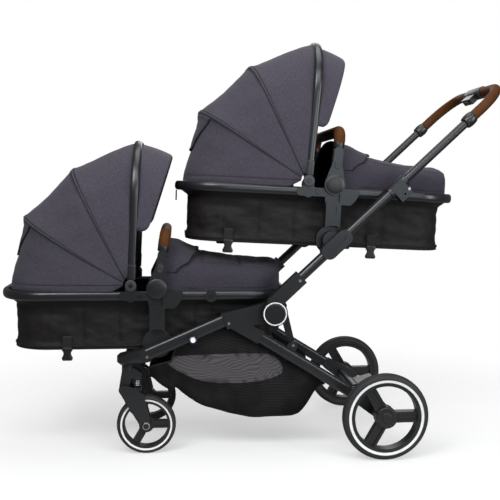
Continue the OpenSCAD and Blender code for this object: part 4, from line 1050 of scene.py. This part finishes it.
def makeApron(cot):
    p = apronPlan
    grid, seams = [], []
    for i in range(p["rows"] + 1):
        f = sin(0.5 * pi * i / p["rows"]) * 0.6 + 0.4 * i / p["rows"]
        line = []
        for j in range(p["across"] + 1):
            t = eased(j, p["across"])
            x = apronFront(t) + (p["footX"] - apronFront(t)) * f
            lift, seam = apronLift(cot, x, t)
            line.append(underBar(cot, apronPoint(x, t, lift)))
            seams.append(seam)
        grid.append(line)
    low = Vector(cot.at(p["footX"], 0, p["base"]))
    ends, up = [Vector(q) for q in grid[-1]], cot.heading(90)
    for k in range(1, p["footRows"] + 1):    # the cloth turns down to the rail at the foot
        grid.append([tuple(q - up * ((q - low).dot(up) * k / p["footRows"])) for q in ends])
        seams += [0.0] * len(ends)
    cloth = sheetPiece("cover", grid, ["apron", "lining"], cot.at(190, 0, 0), {"seam": seams}, p["cloth"] * mm)
    shares = np.linspace(p["seamAt"], 1 - p["seamAt"], 60)
    rows = [[cot.at(*apronPoint(x + d, t, apronLift(cot, x + d, t)[0] + 0.2)) for t in shares]
            for x in p["crossSeams"] for d in (-3.2, 3.2)]
    piece = joinPieces(cot.body("apron_cover"), [cloth, stitchRow(rows)])
    dress(piece, cot.body("cot"), cot.body("apron"))
    cot.body("rail")


flapPlan = dict(rows=24, across=72, low=0.03, edge=((0.03, 41.0), (0.085, 83.0), (0.33, 113.0), (0.5, 118.0)),
                rise=2.8, cloth=2.2, binding=2.0, foldRadius=1.6, snap=(104.0, 0.24), snapLift=6.2,
                snapHead={"Head Radius": 0.005, "Head Height": 0.002})


def makeFlap(cot):
    p = flapPlan
    grid = []
    for j in range(p["across"] + 1):
        t = p["low"] + (1 - 2 * p["low"]) * eased(j, p["across"])
        edge = softInterp(min(t, 1 - t), p["edge"], 0.05)
        line = []
        for i in range(p["rows"] + 1):
            x = apronFront(t) + 0.3 + (edge - apronFront(t)) * i / p["rows"]
            lift = p["rise"] + 1.4 * ripple(apronPoint(x, t), 0.02, 2.0) + 2.6 * (i / p["rows"]) ** 3
            lift *= 1 - 0.95 * abs(cos(pi * t)) ** 6    # close to the side, where the bar's arms pass
            line.append(underBar(cot, apronPoint(x, t, lift)))
        grid.append(line)
    cloth = sheetPiece("flap", grid, ["apron", "lining"], cot.at(150, 0, -60), None, p["cloth"] * mm)
    trims = [sweep("binding", [line[-1] for line in grid], disc(p["binding"] * mm, 8), "webbing"),
             sweep("fold", [line[0] for line in grid], disc(p["foldRadius"] * mm, 8), "apron")]
    x, t = p["snap"]
    snaps = [cot.at(*apronPoint(x, q, p["snapLift"])) for q in (t, 1 - t)]
    facing = [(0.2, -0.75, 0.6), (0.2, 0.75, 0.6)]
    trims.append(grow("snaps", "screw", snaps, [], p["snapHead"], facing, "dark"))
    piece = joinPieces(cot.body("apron_flap"), [cloth] + trims)
    dress(piece, cot.body("cot"))
    cot.body("apron_cover")


# Mattress: one quilted pad, blown up a little as cloth and copied into both cots
padPlan = dict(inset=48.3, sideY=151.4, low=-145.0, thick=42.0, around=180, channel=70.0, voxel=0.006,
               cap=0.0022, pressure=4.0, steps=20, topEdge=4.0, sink=3.0, sinkWidth=5.0, lows=(0.5, 0.7, 0.9),
               sides=((0, 0.965), (0.12, 0.985), (0.3, 0.995), (0.5, 1.0), (0.7, 0.995), (0.85, 0.975),
                      (0.94, 0.945)),
               tops=(0.92, 0.84, 0.76, 0.66, 0.56, 0.46))


def padRing(share, z):
    p = padPlan
    ring = roundedRing(p["inset"] + p["sideY"] * (1 - share), p["sideY"] * share, z, p["around"])
    return [(x * mm, y * mm, z * mm) for x, y, _ in ring]


def channelGap(v):    # how far a point lies from the nearest sewn channel
    p = padPlan
    x, y, half = v.co.x / mm, v.co.y / mm, p["channel"] / 2
    return min(half - abs((x + s * y + 2000) % p["channel"] - half) for s in (-1, 1))


def makePad():
    p = padPlan
    rings = [padRing(s, p["low"]) for s in p["lows"]]
    rings += [padRing(s, p["low"] + z * p["thick"]) for z, s in p["sides"]]
    rings += [padRing(s, p["low"] + p["thick"]) for s in p["tops"]]
    count, around = len(rings), p["around"]
    faces = gridFaces(count, around, True) + endCaps(count, around)
    pad = faceOut(newPiece("pad", [q for r in rings for q in r], faces, ["pad"]))
    blowUp(pad)
    return pad


def blowUp(pad):
    p = padPlan
    skin = pad.modifiers.new("skin", "REMESH")
    skin.mode, skin.voxel_size = "VOXEL", p["voxel"]
    settle(pad)
    rest = [v.co.copy() for v in pad.data.vertices]
    sewn = pad.vertex_groups.new(name="sewn")
    top, half = (p["low"] + p["thick"] - p["topEdge"]) * mm, p["channel"] / 2
    for v in pad.data.vertices:    # the underside and the channels' crossings are held
        x, y = v.co.x / mm, v.co.y / mm
        gap = min(abs((x + s * y + 2000) % p["channel"] - half) for s in (-1, 1))
        if v.co.z < (p["low"] + 3) * mm or (v.co.z > top and gap > half - 4):
            sewn.add([v.index], 1.0, "REPLACE")
    cloth = pad.modifiers.new("cloth", "CLOTH")
    cloth.settings.use_pressure, cloth.settings.uniform_pressure_force = True, p["pressure"]
    cloth.settings.vertex_group_mass = "sewn"
    cloth.settings.effector_weights.gravity = 0.0
    cloth.point_cache.frame_start, cloth.point_cache.frame_end = 1, p["steps"]
    for step in range(1, p["steps"] + 1):
        bpy.context.scene.frame_set(step)
    settle(pad)
    bpy.context.scene.frame_set(1)
    for v, was in zip(pad.data.vertices, rest):
        move = v.co - was
        if move.length > p["cap"]:
            v.co = was + move * (p["cap"] / move.length)
    for v in pad.data.vertices:    # sewn channels sink below the puffs
        if v.co.z > top:
            v.co.z -= p["sink"] * bump01(channelGap(v), p["sinkWidth"]) * mm


def placePad(cot, pad):
    name = cot.body("mattress_pad")
    mesh = pad.data.copy()
    mesh.name = name
    for v in mesh.vertices:
        v.co = cot.at(v.co.x / mm, v.co.y / mm, v.co.z / mm)
    mesh.polygons.foreach_set("use_smooth", [True] * len(mesh.polygons))
    piece = addObject(name, mesh)
    dress(piece, cot.body("cot"), cot.body("mattress"))


padMould = makePad()
for cot in cots:
    placePad(cot, padMould)
    for make in (makeRail, makeTub, makeStraps, makeApron, makeFlap):
        make(cot)
bpy.data.objects.remove(padMould)
print("tubs, aprons and mattresses in")

# Basket: a slack mesh trough with a grey panel in each side
basketPlan = dict(edge=((8, 250), (72, 266), (84, 312), (216, 366), (250, 362), (300, 336), (480, 224),
                        (505, 206)),
                  sag=((0, 0.1), (0.06, 0.36), (0.123, 0.48), (0.2, 0.68), (0.296, 0.84), (0.45, 0.95),
                       (0.6, 1.0), (0.84, 0.95), (0.89, 0.84), (0.948, 0.4), (1, 0.05)),
                  halfWidth=181.7, hem=8.0, low=68.0, lowShare=0.90, power=0.12, rows=120, across=120,
                  cloth=1.4, steep=14, wallFrom=0.85, binding=2.8, slack=3.4,
                  folds=((3.6, 0.011, 7.0), (2.0, 0.03, 5.0)),
                  window=((44, 276), (120, 281), (321, 284), (366, 276), (394, 228), (349, 207), (266, 196),
                          (169, 200), (86, 234)))
axleX = pivot("front_spin_near").x    # the basket's lengths count from the front axle
windowEdge = cutCorners(list(basketPlan["window"]))


def windowDepth(x, z):    # how far inside the grey panel a side-view point lies
    inside, best = False, inf
    for (x0, z0), (x1, z1) in zip(windowEdge, windowEdge[1:] + windowEdge[:1]):
        if (z0 > z) != (z1 > z) and x < x0 + (z - z0) * (x1 - x0) / (z1 - z0):
            inside = not inside
        along = clamp(((x - x0) * (x1 - x0) + (z - z0) * (z1 - z0)) / ((x1 - x0) ** 2 + (z1 - z0) ** 2))
        best = min(best, hypot(x - x0 - along * (x1 - x0), z - z0 - along * (z1 - z0)))
    return best if inside else -best


def makeBasket():
    p = basketPlan
    first, last = p["edge"][0][0], p["edge"][-1][0]
    grid, seams, window = [], [], []
    for i in range(p["rows"] + 1):
        f = i / p["rows"]
        x = first + (last - first) * f
        top = onLine(x, p["edge"])
        floor = top - p["hem"] + (p["low"] - top + p["hem"]) * softInterp(f, p["sag"], 0.035)
        line = []
        for j in range(p["across"] + 1):
            t = eased(j, p["across"])
            u, d = -cos(pi * t), arch(t) ** p["power"]
            side = min(j, p["across"] - j) / p["steep"]
            if side < 1:    # the steep part of each side gets evenly spaced rows
                t0 = eased(p["steep"], p["across"])
                d = sin(pi * t0) ** p["power"] * side
            y = u * p["halfWidth"] * (1 + (p["lowShare"] - 1) * d)
            z = top + (floor - top) * d
            hang = min(1.0, d * 1.4) * min(1.0, 6 * f, 6 * (1 - f) + 0.2)
            fold = min(0.0, hang * (folds((x, y, z), *p["folds"]) - p["slack"]))
            wall = 1.0 if abs(u) > p["wallFrom"] else 0.0
            line.append((axleX + x * mm, (y + copysign(fold, u) * wall) * mm,
                         (z - fold * (1 - wall) * 0.6) * mm))
            depth = windowDepth(x, z) if abs(y) > 120 else -50.0
            window.append(depth * mm)
            seams.append(max(0.8 * bump01(abs(depth) - 1.0, 1.6), 0.6 * bump01(d - 0.03, 0.03)))
        grid.append(line)
    cloth = sheetPiece("net", grid, ["basket", "lining"], (axleX + 0.25, 0, 0.26),
                       {"seam": seams, "window": window}, p["cloth"] * mm)
    rims = [[line[k] for line in grid] for k in (0, -1)] + [grid[0], grid[-1]]
    trims = [sweep("binding", r, disc(p["binding"] * mm, 8), "webbing") for r in rims]
    piece = joinPieces("basket_net", [cloth] + trims)
    dress(piece, "base", "basket")


makeBasket()
print("basket hung")

# Tyres with a white band on the outer wall, and the caps of the wheels
tyrePlan = {"rear": dict(radius=120.0, width=42.0), "front": dict(radius=83.0, width=34.0)}
boreShares = (0.802, 0.3)
# shares of the radius and of the width, and 1 where the white band runs
treadShares = ((0.802, 0.385, 0), (0.812, 0.402, 1), (0.84, 0.414, 1), (0.872, 0.420, 0), (0.876, 0.428, 0),
               (0.90, 0.425, 0), (0.935, 0.405, 0), (0.965, 0.35, 0), (0.984, 0.27, 0), (0.992, 0.21, 0),
               (0.985, 0.195, 0), (0.985, 0.165, 0), (0.995, 0.15, 0), (0.999, 0.075, 0), (0.990, 0.06, 0),
               (0.990, 0.03, 0), (1.0, 0.015, 0))


def makeTyre(end, side, out):
    r, w = tyrePlan[end]["radius"] * mm, tyrePlan[end]["width"] * mm * out
    profile = [(r * a, w * b) for a, b, _ in treadShares] + [(r * a, -w * b) for a, b, _ in treadShares[::-1]]
    bands = [c for _, _, c in treadShares] + [0] * (len(treadShares) + 1)
    bore, half = boreShares
    profile += [(r * bore, -w * half), (r * bore, w * half)]
    piece = lathe(f"{end}_tread_{side}", profile, pivot(f"{end}_spin_{side}"), ["rubber", "band"], 144, bands,
                  True)
    dress(piece, f"{end}_wheel_{side}", f"{end}_tyre_{side}")


flatShares = ((1.0, 0.0), (0.99, 0.5), (0.93, 0.82), (0.8, 0.93), (0.5, 0.99), (0.05, 1.0))
roundShares = ((1.0, 0.0), (0.985, 0.22), (0.95, 0.4), (0.88, 0.58), (0.75, 0.76), (0.55, 0.9), (0.3, 0.975),
               (0.03, 1.0))
domeFoot = 0.6    # how far a dome reaches into the face it sits on


def dome(name, at, out, rim, finish, height, shares=flatShares):
    profile = [(rim * mm, -domeFoot * mm * out)] + [(rim * r * mm, height * h * mm * out) for r, h in shares]
    return lathe(name, profile, at, [finish], 48)


wheelCapPlan = {"rear": dict(wide=29.0, step=2.2, small=14.0, high=4.2),
                "front": dict(wide=13.0, step=1.8, small=8.0, high=3.6, washer=(10.2, 0.9))}


def makeWheelCap(end, side, out):
    p = wheelCapPlan[end]
    centre = pivot(f"{end}_spin_{side}")
    at = Vector((centre.x, outerFace(f"{end}_rim_{side}", out), centre.z))
    body = f"{end}_wheel_{side}"
    if end == "front":
        at.y, body = outerFace(f"caster_fork_{side}", out), f"fork_{side}"
    upper = at + aside(out, p["step"])
    parts = [dome("cap", at, out, p["wide"], "dark", p["step"]),
             dome("cap", upper, out, p["small"], "plastic", p["high"] - p["step"])]
    if "washer" in p:
        parts.append(dome("washer", upper, out, p["washer"][0], "steel", p["washer"][1]))
    piece = joinPieces(f"{end}_cap_{side}", parts)
    dress(piece, body)


for end in tyrePlan:
    bothSides(lambda side, out: makeTyre(end, side, out))
    bothSides(lambda side, out: makeWheelCap(end, side, out))
print("tyres turned")

# Fold hubs: a bare domed badge in a plain white ring
hubPlan = dict(at=(355.0, 404.0), ring=(29.3, 32.1), ringDepth=(0.5, 0.3), dome=28.6, domeSunk=1.0,
               domeRise=1.2)


def makeHub(side, out):
    p = hubPlan
    at = Vector((axleX + p["at"][0] * mm, outerFace("hub_caps", out), p["at"][1] * mm))
    inner, outer = (v * mm for v in p["ring"])
    below, above = (v * mm * out for v in p["ringDepth"])
    profile = [(inner, -below), (inner, above), (outer, above), (outer, -below)]
    band = lathe("band", profile, at, ["band"], 64, None, True, False)
    badge = dome("badge", at - aside(out, p["domeSunk"]), out, p["dome"], "dark", p["domeRise"])
    piece = joinPieces("hub_badge_" + side, [band, badge])
    dress(piece, "base")


bothSides(makeHub)

# Lamps: a glass dome with a glowing core
lensPlan = dict(rimRise=3.0, coreShare=0.62, coreAt=2.6, coreRise=2.2)


def makeLens(side, out):
    p = lensPlan
    low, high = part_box("lamp_lenses")
    x, _, z = middleOf("lamp_lenses")
    at = Vector((x, outerFace("lamp_lenses", out), z))
    wide = (high[2] - low[2]) / 2 / mm
    rim = dome("rim", at, out, wide, "glass", p["rimRise"])
    core = dome("core", at + aside(out, p["coreAt"]), out, p["coreShare"] * wide, "glow", p["coreRise"])
    piece = joinPieces("lamp_dome_" + side, [rim, core])
    dress(piece, "base")


bothSides(makeLens)


# Leather over the handle and the two bars, with dark collars
def makeGrip(name, node, body, path, radius, inward):
    rings = []
    for k, q in enumerate(path):
        swell = 0.25 * ripple(q, 40.0, 3.0)
        end = min(k, len(path) - 1 - k)
        rolled = 1.0 - 0.10 * (end == 0) + 0.012 * (end == 1)
        rings.append([(x * rolled, y * rolled) for x, y in disc((radius + swell - 0.3) * mm, 28)])
    tube = sweep("tube", path, rings, "leather")
    under = [tuple(Vector(q) + Vector(inward) * (radius * 0.985 * mm)) for q in path[2:-2]]
    piece = joinPieces(name, [tube, stitchRow([under], 5.0, 0.7)])
    dress(piece, body, node)


def ballPiece(name, centre, axis, rows, finish):    # a short turned form about a line
    path = [tuple(centre + axis * (h * mm)) for h, _ in rows]
    return sweep(name, path, [disc(r * mm, 32) for _, r in rows], finish)


barPlan = dict(radius=16.0, reach=149.0, corner=30.0, legY=187.5, low=117.0,
               angles={"lower": 81.0, "upper": 86.0}, hubDome=28.6, hubRise=6.0,
               collar=((101, 13.2), (102, 14.9), (104, 15.4), (116, 15.4), (118, 14.9), (119.2, 13.4)),
               bezel=(8.0, 12.6), bezelWire=1.0, bezelBeside=9.5)


def makeBar(cot):
    p = barPlan
    axis, centre = cot.heading(p["angles"][cot.name]), pivot(cot.body("bar_tilt"))
    path = archPath(p["legY"], p["reach"], p["corner"], axis, centre, p["low"], 12)
    fall, across = Vector((-axis.z, 0, axis.x)), Vector((axis.z, 0, -axis.x))
    makeGrip(cot.body("bar_leather"), cot.body("bar_grip"), cot.body("bumper"), path, p["radius"], fall)
    parts = []
    for out in (-1, 1):
        parts.append(ballPiece("collar", centre + aside(out, p["legY"]), axis, p["collar"], "dark"))
        hub = Vector((centre.x, outerFace(cot.body("bar"), out), centre.z))
        parts.append(dome("hub", hub, out, p["hubDome"], "plastic", p["hubRise"], roundShares))
        middle = Vector(middleOf(cot.body("button_near" if out < 0 else "button_far")))
        beside = middle + across * (p["bezelBeside"] * mm)
        middle.y = surfaceY(cot.body("bar"), beside.x, beside.z, out) or middle.y
        turns = np.linspace(0, 2 * pi, 40, endpoint=False)
        wide, high = (v * mm for v in p["bezel"])
        ring = [tuple(middle + across * (wide * cos(a)) + axis * (high * sin(a))) for a in turns]
        parts.append(sweep("bezel", ring, disc(p["bezelWire"] * mm, 8), "button", True, (0, 1, 0)))
    piece = joinPieces(cot.body("bar_trim"), parts)
    dress(piece, cot.body("bumper"))


for cot in cots:
    makeBar(cot)

gripPlan = dict(radius=14.6, tube=11.8, halfWidth=222.0, corner=96.0, reach=140.0, low=14.0, inset=14.0,
                ball=((-17, 13.5), (-16, 15.6), (-12, 17.4), (-5, 18.6), (0, 18.8), (5, 18.6), (12, 17.4),
                      (16, 15.6), (17, 13.5)),
                sleeve=(56.0, 33.0), sleeveStops=(-1.0, -0.985, -0.95, 0.95, 0.985, 1.0),
                sleeveShares=(0.9, 0.97, 1.0, 1.0, 0.97, 0.9))


def makeHandle():
    p = gripPlan
    axis = Vector(joints["handle_slide"]["axis"]).normalized()
    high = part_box("handle_grip")[1]
    if axis.x < 0:
        axis = -axis
    top = Vector((high[0] - p["inset"] * mm, 0, high[2] - p["inset"] * mm))
    centre = top - axis * (p["reach"] * mm)
    path = archPath(p["halfWidth"], p["reach"], p["corner"], axis, centre, p["low"], 16)
    makeGrip("handle_leather", "handle_grip", "handle", path, p["radius"], (axis.z, 0, -axis.x))
    low = -(centre.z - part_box("handle_tube")[0][2]) / axis.z / mm + p["tube"]
    bend = archPath(p["halfWidth"], p["reach"], p["corner"], axis, centre, low, 24)
    tube = sweep("handle_bend", bend, disc(p["tube"] * mm, 28), "tube")
    dress(tube, "handle", "handle_tube")
    balls = [ballPiece("ball", centre + aside(out, p["halfWidth"]), axis, p["ball"], "dark") for out in (-1, 1)]
    piece = joinPieces("handle_collars", balls)
    dress(piece, "handle")
    half, wide = p["sleeve"]
    line = [tuple(top + aside(f, half)) for f in p["sleeveStops"]]
    cuts = scaledCuts(softBox(wide * mm, wide * mm, 32, 0.7), p["sleeveShares"])
    sleeve = sweep("handle_sleeve", line, cuts, "button", False, tuple(axis))
    dress(sleeve, "handle")


makeHandle()
print("leather sewn on")

# Suspension springs: coils riding on the casters
springPlan = dict(radius=8.5, wire=1.6, turns=4.5, stops=241, low=191.9, high=212.1, anchor=0.2137)


def makeSpring(side, out):
    p = springPlan
    x, y, _ = middleOf("caster_spring_" + side)
    path = []
    for f in np.linspace(0, 1, p["stops"]):
        turn = 2 * pi * p["turns"] * f
        path.append((x + p["radius"] * mm * cos(turn), y + p["radius"] * mm * sin(turn),
                     (p["low"] + (p["high"] - p["low"]) * f) * mm))
    piece = sweep("fork_coil_" + side, path, disc(p["wire"] * mm, 10), "steel")
    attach(piece, "caster_" + side)
    "fork_spring_" + side
    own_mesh(piece)
    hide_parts("caster_spring_" + side)


bothSides(makeSpring)

# Screw heads where the photograph shows them, one set to a body
screwPlan = {
    "base": ((230.4, 373.0, "lower_knuckles"), (320.0, 317.0, "lower_knuckles"), (412.0, 306.0, "leg_fittings"),
             (5.0, 283.6, "caster_housings"), (597.0, 129.6, "wheel_housings")),
    "upper_frame": ((423.6, 493.6, "upper_knuckles"), (558.0, 578.0, "upper_adapters"),
                    (725.0, 744.8, "tube_locks"))}


headSizes = {"screw": {"Head Radius": 0.0046, "Head Height": 0.0018},
             "rivet": {"Head Radius": 0.006, "Head Height": 0.0018}}
headLift = 0.2    # a head stands this far off the surface under it


def makeScrews(body, spots):
    heads, facing = [], []
    for x, z, node in spots:
        for out in (-1, 1):
            y = surfaceY(node, axleX + x * mm, z * mm, out)
            if y is not None:
                heads.append((axleX + x * mm, y + out * headLift * mm, z * mm))
                facing.append((0, out, 0))
    piece = grow(body + "_screws", "screw", heads, [], headSizes["screw"], facing, "steel")
    dress(piece, body)
    print(body, "screws:", len(heads))


for body, spots in screwPlan.items():
    makeScrews(body, spots)


rivetPlan = dict(at=(cotPlan["hoodPivot"], (148.0, 0.0), (-46.0, 0.0)), ring=15.8, ringRise=2.4, onRing=2.2)


def makeCotScrews(cot):
    p = rivetPlan
    heads, facing, rings = [], [], []
    for x, z in p["at"]:
        for out in (-1, 1):
            at = Vector(cot.at(x, 0, z))
            y = surfaceY(cot.body("fittings"), at.x, at.z, out)
            if y is not None:
                if (x, z) == cotPlan["hoodPivot"]:
                    ring = Vector((at.x, y, at.z))
                    rings.append(dome("ring", ring, out, p["ring"], "button", p["ringRise"]))
                    y += out * p["onRing"] * mm
                heads.append((at.x, y + out * headLift * mm, at.z))
                facing.append((0, out, 0))
    rivets = grow("rivets", "screw", heads, [], headSizes["rivet"], facing, "dark")
    piece = joinPieces(cot.body("rivets"), [rivets] + rings)
    dress(piece, cot.body("cot"))


ribPlan = dict(shares=(0.3, 0.5, 0.7), lift=0.4)


def makeThumbRibs(cot, side, out):
    node, body = cot.body("button_" + side), cot.body("push_" + side)
    low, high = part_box(node)
    x, y = middleOf(node)[0], outerFace(node, out) + out * ribPlan["lift"] * mm
    spots = [(x, y, low[2] + (high[2] - low[2]) * f) for f in ribPlan["shares"]]
    piece = grow(cot.body("thumb_ribs_" + side), "rib", spots, [], {}, [(0, 0, 0)] * len(spots), "dark")
    dress(piece, body)


for cot in cots:
    makeCotScrews(cot)
    bothSides(lambda side, out: makeThumbRibs(cot, side, out))
print("screws and ribs set")

# Camera at the photograph's viewing angle
cameraPlan = dict(at=(84.94, -2405.23, 756.21), focalPixels=805.95, picturePixels=500.0, yaw=5.304,
                  pitch=-4.644, sensor=36.0, clipEnd=100.0)


def makeCamera():
    p = cameraPlan
    data = bpy.data.cameras.new("photoCamera")
    data.sensor_fit, data.sensor_width = "HORIZONTAL", p["sensor"]
    data.lens = p["focalPixels"] / p["picturePixels"] * data.sensor_width
    data.clip_end = p["clipEnd"]
    camera = addObject("photoCamera", data)
    camera.location = (axleX + p["at"][0] * mm, p["at"][1] * mm, p["at"][2] * mm)
    yaw, pitch = radians(p["yaw"]), radians(p["pitch"])
    ahead = Vector((sin(yaw) * cos(pitch), cos(yaw) * cos(pitch), sin(pitch)))
    camera.rotation_euler = ahead.to_track_quat("-Z", "Y").to_euler()
    bpy.context.scene.camera = camera


# Floor, sky and soft lights
# Each lamp: name, place, size, power and tint
lightPlan = dict(sky=1.0, ambient=0.14, aim=(0.0, 0.0, 0.55), floorRadius=1.8, lamps=(
    ("frontStrip", (-0.1, -2.0, 2.5), (3.0, 1.1), 46.0, (1, 1, 1)),
    ("leftLight", (-1.4, -1.8, 2.4), (1.2, 1.2), 34.0, (1, 1, 1)),
    ("rightLight", (2.4, -2.3, 1.1), (0.8, 1.8), 40.0, (1, 1, 1)),
    ("topLight", (0.2, 0.1, 3.2), (2.0, 2.0), 36.0, (1, 1, 1)),
    ("backLight", (0.6, 3.0, 2.2), (2.0, 2.0), 28.0, (1, 1, 1)),
    ("windowLight", (0.62, -2.45, 1.02), (1.0, 0.5), 10.0, (0.78, 0.89, 1.0))))


def makeStudio():
    p = lightPlan
    bpy.ops.mesh.primitive_circle_add(vertices=64, radius=p["floorRadius"], fill_type="NGON",
                                      location=(0, 0, 0))
    floor = bpy.context.object
    floor.name = "studio_floor"
    floor.data.materials.append(paint["floor"])
    world = bpy.data.worlds.new("studio")
    bpy.context.scene.world = world
    world.use_nodes = True
    sky = Tree(world.node_tree)
    seen = sky.node("ShaderNodeLightPath", out="Is Camera Ray")
    shade = world.node_tree.nodes["Background"]
    shade.inputs["Color"].default_value = (1, 1, 1, 1)
    world.node_tree.links.new((seen * (p["sky"] - p["ambient"]) + p["ambient"]).out, shade.inputs["Strength"])
    for name, at, size, power, tint in p["lamps"]:
        data = bpy.data.lights.new(name, "AREA")
        data.shape, data.energy, data.color = "RECTANGLE", power, tint
        data.size, data.size_y = size
        lamp = addObject(name, data)
        lamp.location = at
        lamp.rotation_euler = (Vector(p["aim"]) - Vector(at)).to_track_quat("-Z", "Y").to_euler()
    bpy.context.scene.view_settings.view_transform = "Standard"


makeCamera()
makeStudio()
print("camera and studio set")
